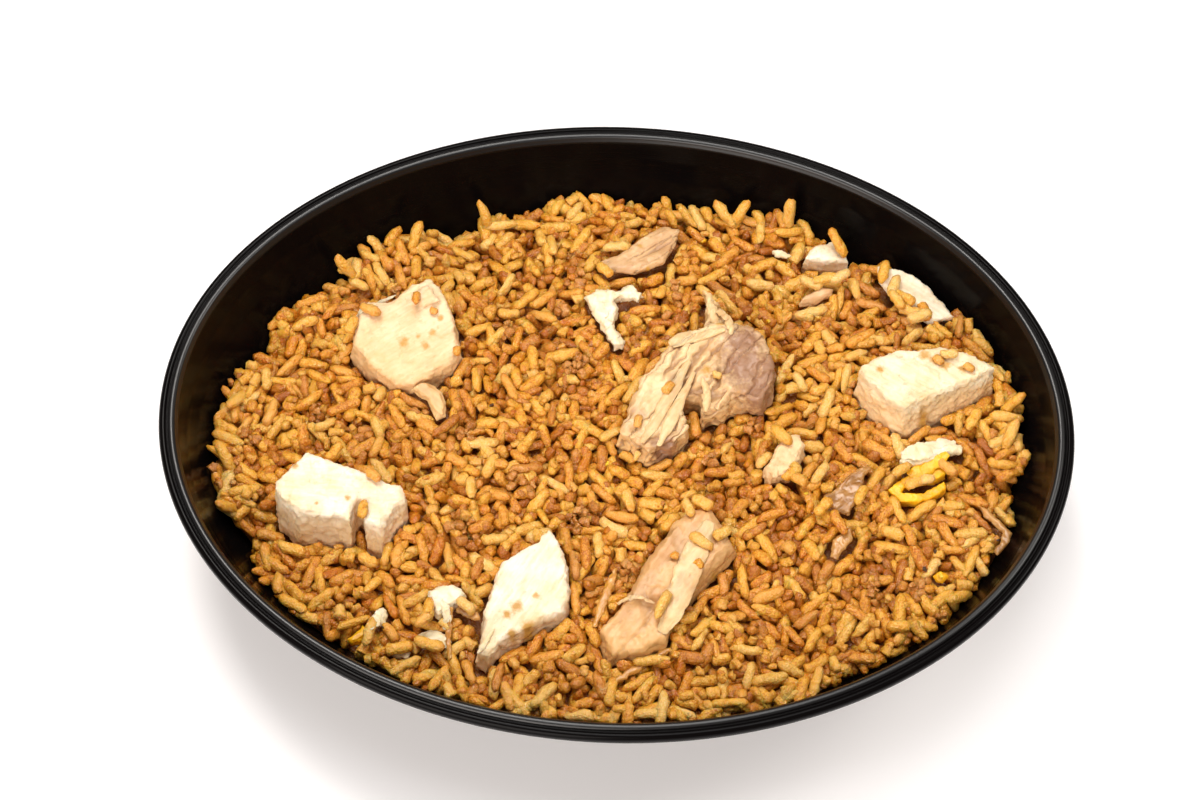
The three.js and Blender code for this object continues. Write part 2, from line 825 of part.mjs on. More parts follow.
    pieces: [
      {
        outline: [[2, 5.6], [2.3, 2.1], [-1.1, -3], [-2.9, -2.4], [-2.4, 1.8]],
        rise: 1.8,
        thick: 1.5,
        slope: [0.1, 0.05],
        wave: 0.2,
      },
    ],
  },
  {
    name: 'onion_strip_right_edge',
    colour: ONION,
    at: [94, -21],
    pieces: [
      {
        outline: [
          [-5, 7.5], [-2, 5.5], [3, 0], [2, -3], [-0.6, -6], [-1.8, -4.6], [0.5, -1.6], [0.8, 0.2],
          [-3.8, 5],
        ],
        rise: 2.6,
        thick: 1.5,
        wave: 0.25,
      },
    ],
  },
];

// The space inside the bowl, a gap clear of its wall.
function hollow() {
  const depths = [...INNER_LEVELS, BOWL_DEPTH];
  const levels = depths.map((depth) => [wallInset(depth) + GAP, BOWL_HEIGHT - depth]);
  return solidOf(skin([...levels.reverse(), [LIP_WIDTH + GAP, SKY]].map(ovalRing)));
}

// Each topping is kept inside the bowl and cut clear of those laid before it.
const space = hollow();
const laid = [];
for (const topping of toppings) {
  const whole = joined(topping).intersect(space);
  const clear = laid.reduce((solid, other) => solid.subtract(other.grown), whole);
  laid.push({ ...topping, solid: largestBody(clear), grown: joined(topping, { grow: GAP }) });
}

// True where a topping's footprint, widened by a margin, covers a point of the rice.
function covered(point, margin = 0) {
  return toppings.some(({ at, pieces }) =>
    pieces.some(({ outline }) => {
      const flat = outline.map(([x, y]) => new THREE.Vector2(x, y));
      const turned = THREE.ShapeUtils.isClockWise(flat) ? [...flat].reverse() : flat;
      return inside({ x: point.x - at[0], y: point.y - at[1] }, offset(turned, margin));
    }),
  );
}

const random = seeded(20);
const sockets = laid.map((topping) => joined(topping, { grow: GAP, open: true }));
const bareRice = sockets.reduce((rice, socket) => rice.subtract(socket), riceBody(random, covered));
const heap = looseGrains(random, covered).reduce((all, grain) => all.add(grain), largestBody(bareRice));
const rice = largestBody(heap);

const serving = new THREE.Group();

function serve(name, geometry, colour, roughness) {
  const material = new THREE.MeshStandardMaterial({ color: colour, roughness, metalness: 0 });
  const mesh = new THREE.Mesh(geometry, material);
  mesh.name = name;
  serving.add(mesh);
}

serve('bowl', bowl(), '#17171a', 0.25);
serve('rice', geometryOf(rice), '#c08a45', 0.55);
for (const { name, solid, colour } of laid) serve(name, geometryOf(solid), colour, 0.5);

export default serving;
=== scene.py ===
# %% [markdown]
# # An oval bowl of chicken fried rice
# A black melamine bowl holds a low heap of fried rice with cut chicken, egg and a little onion on it.
# The solids behind it have the right sizes, but flat faces and one colour each. This lesson gives each
# of them the surface of the real thing, in the same place: the bowl is drawn again with fine steps,
# the rice becomes some thousands of grains that come to rest on each other, and every topping is
# worked over with fibres, pits and stains.

# %% Load the frame
import json
import math

import bmesh
import bpy
import numpy as np
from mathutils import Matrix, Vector, noise

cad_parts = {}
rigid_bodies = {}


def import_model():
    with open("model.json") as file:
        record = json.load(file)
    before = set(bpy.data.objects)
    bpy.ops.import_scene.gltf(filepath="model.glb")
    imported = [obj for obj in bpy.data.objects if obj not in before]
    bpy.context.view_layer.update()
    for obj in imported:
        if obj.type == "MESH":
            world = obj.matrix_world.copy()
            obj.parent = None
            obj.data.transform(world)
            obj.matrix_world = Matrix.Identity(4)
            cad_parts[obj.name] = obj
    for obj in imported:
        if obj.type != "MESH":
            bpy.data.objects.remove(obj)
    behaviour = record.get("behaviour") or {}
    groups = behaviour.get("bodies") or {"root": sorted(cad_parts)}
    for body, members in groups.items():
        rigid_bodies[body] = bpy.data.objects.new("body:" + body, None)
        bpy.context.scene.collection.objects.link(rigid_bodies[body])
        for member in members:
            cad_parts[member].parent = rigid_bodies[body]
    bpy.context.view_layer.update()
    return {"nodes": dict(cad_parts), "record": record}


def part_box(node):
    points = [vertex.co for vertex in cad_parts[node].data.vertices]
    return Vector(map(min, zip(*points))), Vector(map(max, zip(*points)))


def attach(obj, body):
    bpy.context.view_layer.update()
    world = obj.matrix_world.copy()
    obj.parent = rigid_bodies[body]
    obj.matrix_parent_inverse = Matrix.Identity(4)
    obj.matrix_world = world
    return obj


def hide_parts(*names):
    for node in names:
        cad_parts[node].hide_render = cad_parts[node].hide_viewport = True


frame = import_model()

MM = 0.001
scene = bpy.context.scene
print("nodes in the frame:", len(frame["nodes"]))

# %% [markdown]
# ## The view
# The photo looks down on the bowl at 60 degrees with a long lens, so the oval shows almost no
# perspective. The distance and the aim follow from the rim: its ellipse in the picture is as wide as
# an oval of 222 mm seen from there.

# %% Camera
CAMERA_AIM = Vector((-0.004, 0.0033, 0.045))
CAMERA_TURN = math.radians(2.86)
CAMERA_RISE = math.radians(60)
CAMERA_DISTANCE = 0.688

camera = bpy.data.objects.new("camera", bpy.data.cameras.new("camera"))
scene.collection.objects.link(camera)
scene.camera = camera
camera.data.lens = 85
camera.data.sensor_width = 36
back = Vector((
    math.sin(CAMERA_TURN) * math.cos(CAMERA_RISE),
    -math.cos(CAMERA_TURN) * math.cos(CAMERA_RISE),
    math.sin(CAMERA_RISE),
))
camera.location = CAMERA_AIM + back * CAMERA_DISTANCE
camera.rotation_mode = "QUATERNION"
camera.rotation_quaternion = (-back).to_track_quat("-Z", "Y")
print("camera stands at", [round(v, 3) for v in camera.location])

# %% [markdown]
# ## Colour and nodes
# Colours are written as the hex values that a screen shows. Blender mixes light in linear values, so
# one function turns the first into the second. The others add nodes to a tree. What they are given
# for an input is either a value or the socket to link from.

# %% Helpers for colours and node trees
def linear(hex_colour):
    channels = [int(hex_colour[k : k + 2], 16) / 255 for k in (1, 3, 5)]
    return (*[c / 12.92 if c <= 0.04045 else ((c + 0.055) / 1.055) ** 2.4 for c in channels], 1.0)


def plug(tree, node, sockets):
    """Fills a node's inputs, by name or number, each with a value or with the output it comes from."""
    for name, value in sockets.items():
        if isinstance(value, bpy.types.NodeSocket):
            tree.links.new(value, node.inputs[name])
        else:
            node.inputs[name].default_value = value


def add(tree, kind, sockets=None, **settings):
    node = tree.nodes.new(kind)
    for name, value in settings.items():
        setattr(node, name, value)
    plug(tree, node, sockets or {})
    return node


def reckon(tree, operation, *values):
    """One step of arithmetic on numbers."""
    return add(tree, "ShaderNodeMath", dict(enumerate(values)), operation=operation).outputs[0]


def reckon_vector(tree, operation, first, second):
    """One step of arithmetic on vectors. SCALE takes a number second."""
    sockets = {0: first, "Scale" if operation == "SCALE" else 1: second}
    return add(tree, "ShaderNodeVectorMath", sockets, operation=operation).outputs[0]


def spread(tree, value, low, high, to_low, to_high, **settings):
    """Maps a value from one range to another."""
    sockets = {"Value": value, "From Min": low, "From Max": high, "To Min": to_low, "To Max": to_high}
    return add(tree, "ShaderNodeMapRange", sockets, **settings).outputs["Result"]


def mottle(tree, place, size, detail):
    """Noise from 0 to 1, with its spots about one size apart."""
    sockets = {"Vector": place, "Scale": 1 / size, "Detail": detail}
    return add(tree, "ShaderNodeTexNoise", sockets).outputs["Fac"]


def named(tree, label):
    """A value that the mesh keeps under a name."""
    return add(tree, "ShaderNodeAttribute", attribute_name=label).outputs["Fac"]


def bump(tree, height, strength, distance, **sockets):
    relief = {"Height": height, "Strength": strength, "Distance": distance} | sockets
    return add(tree, "ShaderNodeBump", relief).outputs["Normal"]


def blended(tree, factor, first, second):
    """A mix of two colours."""
    sockets = {"Factor": factor, "A": first, "B": second}
    return add(tree, "ShaderNodeMix", sockets, data_type="RGBA").outputs["Result"]


def ramp(tree, factor, stops):
    """A colour ramp from (position, hex colour) stops."""
    node = add(tree, "ShaderNodeValToRGB", {"Fac": factor})
    elements = node.color_ramp.elements
    while len(elements) < len(stops):
        elements.new(0.5)
    for element, (position, colour) in zip(elements, stops):
        element.position = position
        element.color = linear(colour)
    return node.outputs["Color"]


def material(name):
    """An empty material with a Principled shader: returns the material, its tree and the shader."""
    made = bpy.data.materials.new(name)
    made.use_nodes = True
    return made, made.node_tree, made.node_tree.nodes["Principled BSDF"]


def geometry_tree(name, inputs):
    """A geometry node tree with named inputs: returns the tree and its input node."""
    tree = bpy.data.node_groups.new(name, "GeometryNodeTree")
    tree.interface.new_socket("Geometry", in_out="INPUT", socket_type="NodeSocketGeometry")
    for label, kind in inputs.items():
        tree.interface.new_socket(label, in_out="INPUT", socket_type=kind)
    tree.interface.new_socket("Geometry", in_out="OUTPUT", socket_type="NodeSocketGeometry")
    return tree, tree.nodes.new("NodeGroupInput")


def keep(tree, geometry, label, value):
    """Keeps a value of each point under a name."""
    sockets = {"Geometry": geometry, "Name": label, "Value": value}
    kept = add(tree, "GeometryNodeStoreNamedAttribute", sockets, data_type="FLOAT", domain="POINT")
    return kept.outputs[0]


def hand_out(tree, geometry, finish):
    """Ends a geometry tree: its result is real geometry, shaded smooth, with its finish."""
    real = add(tree, "GeometryNodeRealizeInstances", {"Geometry": geometry}).outputs[0]
    smooth = add(tree, "GeometryNodeSetShadeSmooth", {"Geometry": real}).outputs[0]
    coated = add(tree, "GeometryNodeSetMaterial", {"Geometry": smooth, "Material": finish}).outputs[0]
    add(tree, "NodeGroupOutput", {"Geometry": coated})


def bare_object(name, data):
    made = bpy.data.objects.new(name, data)
    scene.collection.objects.link(made)
    return made


def finished(base, tree, inputs, name):
    """Runs a geometry tree on an object and returns the result as a plain mesh object."""
    modifier = base.modifiers.new(tree.name, "NODES")
    modifier.node_group = tree
    for item in tree.interface.items_tree:
        if item.item_type == "SOCKET" and item.in_out == "INPUT" and item.name in inputs:
            modifier[item.identifier] = inputs[item.name]
    graph = bpy.context.evaluated_depsgraph_get()
    mesh = bpy.data.meshes.new_from_object(
        base.evaluated_get(graph), preserve_all_data_layers=True, depsgraph=graph
    )
    base.modifiers.clear()
    bpy.data.objects.remove(base)
    mesh.name = name
    return bare_object(name, mesh)


# %% [markdown]
# ## Floor and light
# The bowl stands on a white table in soft daylight. Lamps above and behind give the bright tops of the
# food and one thin highlight along the rim. A wide dim one in front and the pale surroundings fill the
# shadows. The table gives off a little light of its own, so that it stays white round the bowl.

# %% Stage
FLOOR_SIZE = 6.0

floor_finish, tree, shader = material("lit_white_acrylic_table")
plug(tree, shader, {
    "Base Color": linear("#f4f3f4"),
    "Roughness": 0.9,
    "Emission Color": linear("#fff6f2"),
    "Emission Strength": 0.12,
})
floor_mesh = bpy.data.meshes.new("floor")
corners = [(x * FLOOR_SIZE / 2, y * FLOOR_SIZE / 2, 0) for x, y in ((-1, -1), (1, -1), (1, 1), (-1, 1))]
floor_mesh.from_pydata(corners, [], [(0, 1, 2, 3)])
floor_mesh.materials.append(floor_finish)
floor = bare_object("floor", floor_mesh)

world = bpy.data.worlds.new("soft_white_room")
world.use_nodes = True
world.node_tree.nodes["Background"].inputs["Color"].default_value = linear("#f7f3f0")
world.node_tree.nodes["Background"].inputs["Strength"].default_value = 0.25
scene.world = world
scene.view_settings.view_transform = "Standard"

LAMP_AIM = Vector((0, 0, 0.03))
LAMPS = {
    # name: (place, size, watts, colour)
    "lamp_behind": ((-0.25, 0.45, 1.1), 0.4, 8.6, "#fffaf4"),
    "lamp_right": ((0.8, 0.2, 0.95), 0.45, 5, "#fffaf4"),
    "lamp_above": ((0.0, 0.1, 1.3), 0.6, 5.9, "#ffffff"),
    "lamp_front": ((-0.5, -1.1, 0.6), 1.0, 19, "#fff7f0"),
}
for name, (place, size, watts, colour) in LAMPS.items():
    light = bpy.data.lights.new(name, "AREA")
    light.size = size
    light.energy = watts
    light.color = linear(colour)[:3]
    lamp = bare_object(name, light)
    lamp.location = place
    lamp.rotation_mode = "QUATERNION"
    lamp.rotation_quaternion = (LAMP_AIM - Vector(place)).to_track_quat("-Z", "Y")
print("lamps:", ", ".join(LAMPS))

# %% [markdown]
# ## The bowl's shape
# The bowl is a shallow oval that steps in by one amount all round, so a single profile describes it:
# how far a ring lies inside the rim, and how high. The wall leans in slowly at first and then curls
# into the flat floor. All later pieces use the same rule to know where the wall is.

# %% Bowl sizes, in millimetres
low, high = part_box("bowl")
RIM_LONG = (high.x - low.x) / MM
RIM_SHORT = (high.y - low.y) / MM
BOWL_HEIGHT = high.z / MM
HALF_LONG, HALF_SHORT = RIM_LONG / 2, RIM_SHORT / 2
WALL = 3.0
BOWL_DEPTH = 38.5
WALL_SLOPE = 0.28
WALL_CURVE = 23.6
BEAD_WIDTH, GROOVE_WIDTH, BAND_WIDTH = 2.0, 0.5, 1.7
LIP_WIDTH = BEAD_WIDTH + GROOVE_WIDTH + BAND_WIDTH
BEAD_ROUND, GROOVE_ROUND, BAND_ROUND = (1.0, 0.9), (0.22, 0.15), (1.2, 1.3)
GROOVE_DROP = 0.25
BAND_DROP = 0.3
LIP_FACE = 2.6
FOOT_WIDTH = 3.2
RING_DEPTHS = (6.8, 12.5, 20.6)
RING_RELIEF = 0.12


def wall_inset(depth):
    bend = 1 - np.sqrt(1 - np.minimum(1, np.asarray(depth, float) / BOWL_DEPTH) ** 3)
    return LIP_WIDTH + WALL_SLOPE * depth + WALL_CURVE * bend


def outer_wall(depth):
    """The outside of the wall faces the inside at one thickness."""
    step = 0.01
    slope = (wall_inset(depth) - wall_inset(depth - step)) / step
    long = math.hypot(1, slope)
    return (float(wall_inset(depth) - WALL / long), BOWL_HEIGHT - depth - WALL * slope / long)


print(f"rim {RIM_LONG:.0f} x {RIM_SHORT:.1f} mm, {BOWL_HEIGHT:.0f} mm high")


# %% The profile, from the middle of the underside over the lip to the middle of the floor
def arc(centre, radius, start, end, steps):
    turns = np.radians(np.linspace(start, end, steps))
    return [(centre[0] + radius[0] * math.cos(t), centre[1] + radius[1] * math.sin(t)) for t in turns]


def bowl_profile():
    """(inset, height, spread) rows; spread draws the rings of the flat middle in towards the centre."""
    underside = BOWL_HEIGHT - BOWL_DEPTH - WALL
    foot = float(wall_inset(BOWL_DEPTH)) + 1
    ring = (
        arc((foot + FOOT_WIDTH - 1.1, 0.5), (0.5, 0.5), 0, -90, 4)
        + arc((foot + 0.1, 0.6), (0.6, 0.6), -90, -180, 4)
    )
    deep = np.degrees(np.arcsin(np.linspace(3.6, BOWL_DEPTH - 0.4, 30) / BOWL_DEPTH))
    outside = [outer_wall(BOWL_DEPTH * math.sin(math.radians(d))) for d in deep][::-1]
    top = BOWL_HEIGHT - BAND_DROP
    lip = (
        arc((0.6, top - LIP_FACE + 0.6), (0.6, 0.6), -90, -180, 4)
        + arc((BAND_ROUND[0], top - BAND_ROUND[1]), BAND_ROUND, 180, 72, 10)
        + arc((BAND_WIDTH + GROOVE_WIDTH / 2, top - GROOVE_DROP), GROOVE_ROUND, 180, 360, 5)
        + arc((LIP_WIDTH - BEAD_WIDTH / 2, BOWL_HEIGHT - BEAD_ROUND[1]), BEAD_ROUND, 172, 6, 16)
    )
    inner = []
    for turn in np.linspace(0.03, math.pi / 2, 60):
        depth = BOWL_DEPTH * math.sin(turn)
        ridge = sum(math.exp(-(((depth - at) / 0.5) ** 2)) for at in RING_DEPTHS)
        inner.append((float(wall_inset(depth)) + RING_RELIEF * ridge, BOWL_HEIGHT - depth))
    last = inner[-1]
    rows = [(foot + FOOT_WIDTH, underside, spread) for spread in (0, 0.4, 0.8, 1)]
    ring.append((foot - 0.9, underside))
    rows += [(inset, height, 1) for inset, height in ring + outside + lip + inner]
    rows += [(*last, spread) for spread in (0.85, 0.5, 0.25, 0)]
    return rows


profile_rows = bowl_profile()
print("rings in the bowl's profile:", len(profile_rows))

# %% [markdown]
# ## The bowl's finish
# Melamine is a hard, dense plastic that is pressed in a polished mould. It gives a deep black with a
# clear gloss that is a little softened by washing, so the wall mirrors the rice along its foot. The
# bead of the lip is rubbed more, and draws one soft bright line. Each point of the bowl keeps how far
# it lies inside the rim, which tells the bead from the rest.

# %% Pressed black melamine
def moulded_melamine():
    made, tree, shader = material("pressed_black_melamine")
    place = add(tree, "ShaderNodeTexCoord").outputs["Object"]
    height = add(tree, "ShaderNodeSeparateXYZ", {"Vector": place}).outputs["Z"]
    groove = (BAND_WIDTH + GROOVE_WIDTH) * MM
    raised = spread(tree, height, BOWL_HEIGHT * MM - 0.002, BOWL_HEIGHT * MM - 0.0012, 0, 1)
    bead = spread(tree, named(tree, "inset"), groove, groove + 0.0004, 0, raised)
    rubbed = spread(tree, mottle(tree, place, 22 * MM, 5.0), 0, 1, 0.12, 0.24)
    plug(tree, shader, {
        "Base Color": linear("#080606"),
        "IOR": 1.5,
        "Specular IOR Level": spread(tree, bead, 0, 1, 0.06, 0.5),
        "Roughness": spread(tree, bead, 0, 1, rubbed, 0.32),
        "Normal": bump(tree, mottle(tree, place, 7 * MM, 2.0), 0.05, 0.4 * MM),
    })
    return made


melamine = moulded_melamine()

# %% [markdown]
# The bowl could be lathed and squashed, but then its wall would be thinner at the sides than at the
# ends. Here Geometry Nodes lay a grid round the oval instead: the row of a grid point picks a point of
# the profile, and its column picks the turn, so every ring keeps its true distance from the rim.

# %% Bowl tree: a profile carried round an oval
def oval_tree():
    tree, given = geometry_tree(
        "profile_round_an_oval",
        {
            "Half length": "NodeSocketFloat",
            "Half width": "NodeSocketFloat",
            "Steps round": "NodeSocketInt",
            "Finish": "NodeSocketMaterial",
        },
    )
    profile, steps = given.outputs["Geometry"], given.outputs["Steps round"]
    size = add(tree, "GeometryNodeAttributeDomainSize", {"Geometry": profile}, component="MESH")
    across = reckon(tree, "ADD", steps, 1.0)
    sides = {"Vertices X": size.outputs["Point Count"], "Vertices Y": across}
    grid = add(tree, "GeometryNodeMeshGrid", sides)
    number = add(tree, "GeometryNodeInputIndex").outputs[0]
    row = reckon(tree, "FLOOR", reckon(tree, "DIVIDE", number, across))
    column = reckon(tree, "MODULO", number, across)
    turn = reckon(tree, "MULTIPLY", reckon(tree, "DIVIDE", column, steps), 2 * math.pi)
    place = add(tree, "GeometryNodeInputPosition").outputs[0]
    step = add(
        tree,
        "GeometryNodeSampleIndex",
        {"Geometry": profile, "Value": place, "Index": row},
        data_type="FLOAT_VECTOR",
        domain="POINT",
    )
    # a profile point holds the inset in X, the spread in Y and the height in Z
    found = add(tree, "ShaderNodeSeparateXYZ", {0: step.outputs[0]}).outputs
    point = {"Z": found["Z"]}
    for axis, half, wave in (("X", "Half length", "COSINE"), ("Y", "Half width", "SINE")):
        radius = reckon(tree, "SUBTRACT", given.outputs[half], found["X"])
        drawn = reckon(tree, "MULTIPLY", radius, found["Y"])
        point[axis] = reckon(tree, "MULTIPLY", drawn, reckon(tree, wave, turn))
    place = add(tree, "ShaderNodeCombineXYZ", point).outputs[0]
    kept = keep(tree, grid.outputs["Mesh"], "inset", found["X"])
    moved = add(tree, "GeometryNodeSetPosition", {"Geometry": kept, "Position": place}).outputs[0]
    closed = add(tree, "GeometryNodeMergeByDistance", {"Geometry": moved, "Distance": 0.002 * MM})
    hand_out(tree, closed.outputs[0], given.outputs["Finish"])
    return tree


# %% Bowl
BOWL_STEPS = 224


def outward(piece):
    """Turns all faces of a closed mesh outwards."""
    shape = bmesh.new()
    shape.from_mesh(piece.data)
    bmesh.ops.recalc_face_normals(shape, faces=shape.faces)
    shape.to_mesh(piece.data)
    shape.free()


profile_mesh = bpy.data.meshes.new("profile")
profile_points = [(inset * MM, spread, height * MM) for inset, height, spread in profile_rows]
profile_mesh.from_pydata(profile_points, [], [])
bowl = finished(
    bare_object("profile", profile_mesh),
    oval_tree(),
    {
        "Half length": HALF_LONG * MM,
        "Half width": HALF_SHORT * MM,
        "Steps round": BOWL_STEPS,
        "Finish": melamine,
    },
    "melamine_bowl",
)
outward(bowl)
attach(bowl, "root")
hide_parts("bowl")
print("bowl faces:", len(bowl.data.polygons))

# %% [markdown]
# ## The heap
# The rice lies just below the rim: highest in the middle, lower where it meets the wall. Its edge is
# piled up at the right and dips in places so that bare wall shows. These functions give its height
# anywhere, as the solid has it.

# %% Height of the heap
MOUND_TOP = 32.5
MOUND_ROUND = 3
EDGE_HEIGHT = 26.8
EDGE_WAVES = (
    # turn in degrees, lift in mm, width in degrees
    (18, 4.4, 28),
    (54, -3, 4),
    (65, 3.6, 5),
    (108, -2.5, 4),
    (118, -5, 5),
    (142, -4, 4),
    (160, -5.5, 5),
    (188, 1.6, 9),
    (203, -4.5, 4),
    (229, -3.5, 5),
    (306, -3, 5),
    (340, 1.5, 7),
    (354, -5, 4),
)
SWELL = 0.9
STIR = 0.8
EDGE_GAP = 0.6


def edge_height(turn):
    height = EDGE_HEIGHT + 0.7 * np.sin(3 * turn + 1) + 0.5 * np.sin(11 * turn + 2)
    for at, lift, wide in EDGE_WAVES:
        away = (np.degrees(turn) - at + 180) % 360 - 180
        height = height + lift * np.exp(-((away / wide) ** 2))
    return height


def reach(x, y):
    """0 in the middle of the rice and 1 at its edge, with the turn round the oval."""
    turn = np.arctan2(y / RIM_SHORT, x / RIM_LONG)
    inset = wall_inset(BOWL_HEIGHT - edge_height(turn)) + EDGE_GAP
    return np.hypot(x / (HALF_LONG - inset), y / (HALF_SHORT - inset)), turn


def mound(x, y):
    share, turn = reach(x, y)
    edge = edge_height(turn)
    swell = SWELL * np.sin(x / 15 + 1) * np.cos(y / 12 - 0.5) * np.maximum(0, 1 - share**2)
    return MOUND_TOP - (MOUND_TOP - edge) * np.minimum(1, share) ** MOUND_ROUND + swell


def stirred(x, y):
    """The small rises and hollows that a spoon leaves, round the heap's own level."""
    return STIR * np.sin(x / 4.7 + 2 * np.sin(y / 9)) * np.sin(y / 5.3 + 1.5 * np.sin(x / 8))


print(f"rice {float(mound(0.0, 0.0)):.1f} mm high in the middle")

# %% [markdown]
# ## Letting the grains fall
# Scattering grains over a surface leaves them floating or half sunk. A physics engine would pack them
# well but takes minutes. A height map does nearly as well in seconds: it holds, for each small square
# of the plan, how high the pile is so far. A grain tries some places and turns, comes to rest on the
# highest point under it, and the try that lies snuggest wins. Then the map rises under it.

# %% Height map of wall, sunken core and toppings
CELL = 0.4
CORE_DROP = 4.4
columns = np.arange(-HALF_LONG, HALF_LONG + CELL, CELL)
lines = np.arange(-HALF_SHORT, HALF_SHORT + CELL, CELL)
plan_x, plan_y = np.meshgrid(columns, lines)


def inset_at(x, y):
    """How far inside the rim's oval a point lies, by halving."""
    near, far = np.zeros_like(x), np.full_like(x, HALF_SHORT - 1)
    for _ in range(22):
        middle = (near + far) / 2
        beyond = np.hypot(x / (HALF_LONG - middle), y / (HALF_SHORT - middle)) > 1
        far = np.where(beyond, middle, far)
        near = np.where(beyond, near, middle)
    return near


depth_steps = np.linspace(0, BOWL_DEPTH, 400)
wall_height = BOWL_HEIGHT - np.interp(inset_at(plan_x, plan_y), wall_inset(depth_steps), depth_steps)
plan_share, _ = reach(plan_x, plan_y)
mound_height = mound(plan_x, plan_y)
heap_level = mound_height + stirred(plan_x, plan_y)
surface = np.maximum(wall_height, np.where(plan_share < 1, mound_height - CORE_DROP, 0))


def raise_map(heights, mesh):
    """Raises the map to the top of a mesh, triangle by triangle."""
    mesh.calc_loop_triangles()
    points = np.array([v.co for v in mesh.vertices]) / MM
    for triangle in mesh.loop_triangles:
        a, b, c = points[list(triangle.vertices)]
        area = (b[0] - a[0]) * (c[1] - a[1]) - (b[1] - a[1]) * (c[0] - a[0])
        if abs(area) < 1e-6:
            continue
        lowest, highest = np.minimum(np.minimum(a, b), c), np.maximum(np.maximum(a, b), c)
        i0, i1 = np.searchsorted(columns, (lowest[0], highest[0] + CELL))
        j0, j1 = np.searchsorted(lines, (lowest[1], highest[1] + CELL))
        x, y = plan_x[j0:j1, i0:i1], plan_y[j0:j1, i0:i1]
        u = ((x - a[0]) * (c[1] - a[1]) - (y - a[1]) * (c[0] - a[0])) / area
        v = ((y - a[1]) * (b[0] - a[0]) - (x - a[0]) * (b[1] - a[1])) / area
        covers = (u >= -0.02) & (v >= -0.02) & (u + v <= 1.02)
        top = a[2] + u * (b[2] - a[2]) + v * (c[2] - a[2])
        patch = heights[j0:j1, i0:i1]
        patch[covers] = np.maximum(patch[covers], top[covers])


TOPPINGS = sorted(name for name in frame["nodes"] if name not in ("bowl", "rice"))
topping_height = np.zeros_like(surface)
for name in TOPPINGS:
    raise_map(topping_height, frame["nodes"][name].data)
surface = np.maximum(surface, topping_height)
hard = np.maximum(wall_height, topping_height)
print(f"height map of {surface.shape[1]} x {surface.shape[0]} squares")

# %% [markdown]
# A cooked long grain is a short rod with blunt ends, a little flat, about 8 mm long and 3 mm wide. One
# rule gives the points that feel for contact and the denser ones that raise the map.

# %% One grain's form
def grain_points(along, around, full=5.0):
    """Points on a grain that fills -1 to 1 along X and has half width 1."""
    s = np.cos(np.linspace(0.15, math.pi - 0.15, along))
    t = np.linspace(0, 2 * math.pi, around, endpoint=False)
    radius = np.sqrt(1 - np.abs(s) ** full)
    s, t = np.meshgrid(s, t, indexing="ij")
    return np.stack([s, radius[:, None] * np.cos(t), radius[:, None] * np.sin(t)], -1).reshape(-1, 3)


# points along and around
FEELERS = grain_points(7, 8)
COVER = grain_points(26, 20)


def turned(points, roll, tip, yaw):
    """Points turned by each of several sets of angles: an array (sets, points, 3)."""
    cr, sr, cp, sp, cy, sy = np.cos(roll), np.sin(roll), np.cos(tip), np.sin(tip), np.cos(yaw), np.sin(yaw)
    matrix = np.stack(
        [
            cy * cp, cy * sp * sr - sy * cr, cy * sp * cr + sy * sr,
            sy * cp, sy * sp * sr + cy * cr, sy * sp * cr - cy * sr,
            -sp, cp * sr, cp * cr,
        ],
        -1,
    ).reshape(-1, 3, 3)
    return np.einsum("kij,nj->kni", matrix, points)


def cells(x, y):
    across = np.clip(((x + HALF_LONG) / CELL + 0.5).astype(int), 0, surface.shape[1] - 1)
    up = np.clip(((y + HALF_SHORT) / CELL + 0.5).astype(int), 0, surface.shape[0] - 1)
    return up, across


print("a grain is felt at", len(FEELERS), "points")

# %% The rule by which one grain comes to rest
SETTLE = 0.82
SINK = 0.35
HEIGHT_COST = 0.35


def rest(x, y, half, roll, tip, yaw, limit, crown=np.inf):
    """Tries a grain at several places and turns. Returns the best as (x, y, z, roll, tip, yaw), or None.
    Boiled grains are soft, so a grain settles until most of its points clear the map, not all. One that
    stands steeply is pushed in further, until its top is no higher than the crown above the heap."""
    shape = turned(FEELERS * half, roll, tip, yaw)
    place = cells(x[:, None] + shape[:, :, 0], y[:, None] + shape[:, :, 1])
    below, level = surface[place], mound(x, y)
    z = np.quantile(below - shape[:, :, 2], SETTLE, axis=1) - SINK
    z = np.minimum(z, level + crown - shape[:, :, 2].max(1))
    z = np.maximum(z, (hard[place] - shape[:, :, 2]).max(1))
    gap = np.abs(z[:, None] + shape[:, :, 2] - below).clip(0, 4).mean(1)
    cost = gap + HEIGHT_COST * (z - level)
    cost[z + shape[:, :, 2].max(1) - level > limit] = np.inf
    best = int(np.argmin(cost))
    if not np.isfinite(cost[best]):
        return None
    return (x[best], y[best], z[best], roll[best], tip[best], yaw[best])


def lay(grain, half):
    """Raises the map under a grain that has come to rest."""
    x, y, z, roll, tip, yaw = grain
    shape = turned(COVER * half, np.array([roll]), np.array([tip]), np.array([yaw]))[0]
    np.maximum.at(surface, cells(x + shape[:, 0], y + shape[:, 1]), z + shape[:, 2])
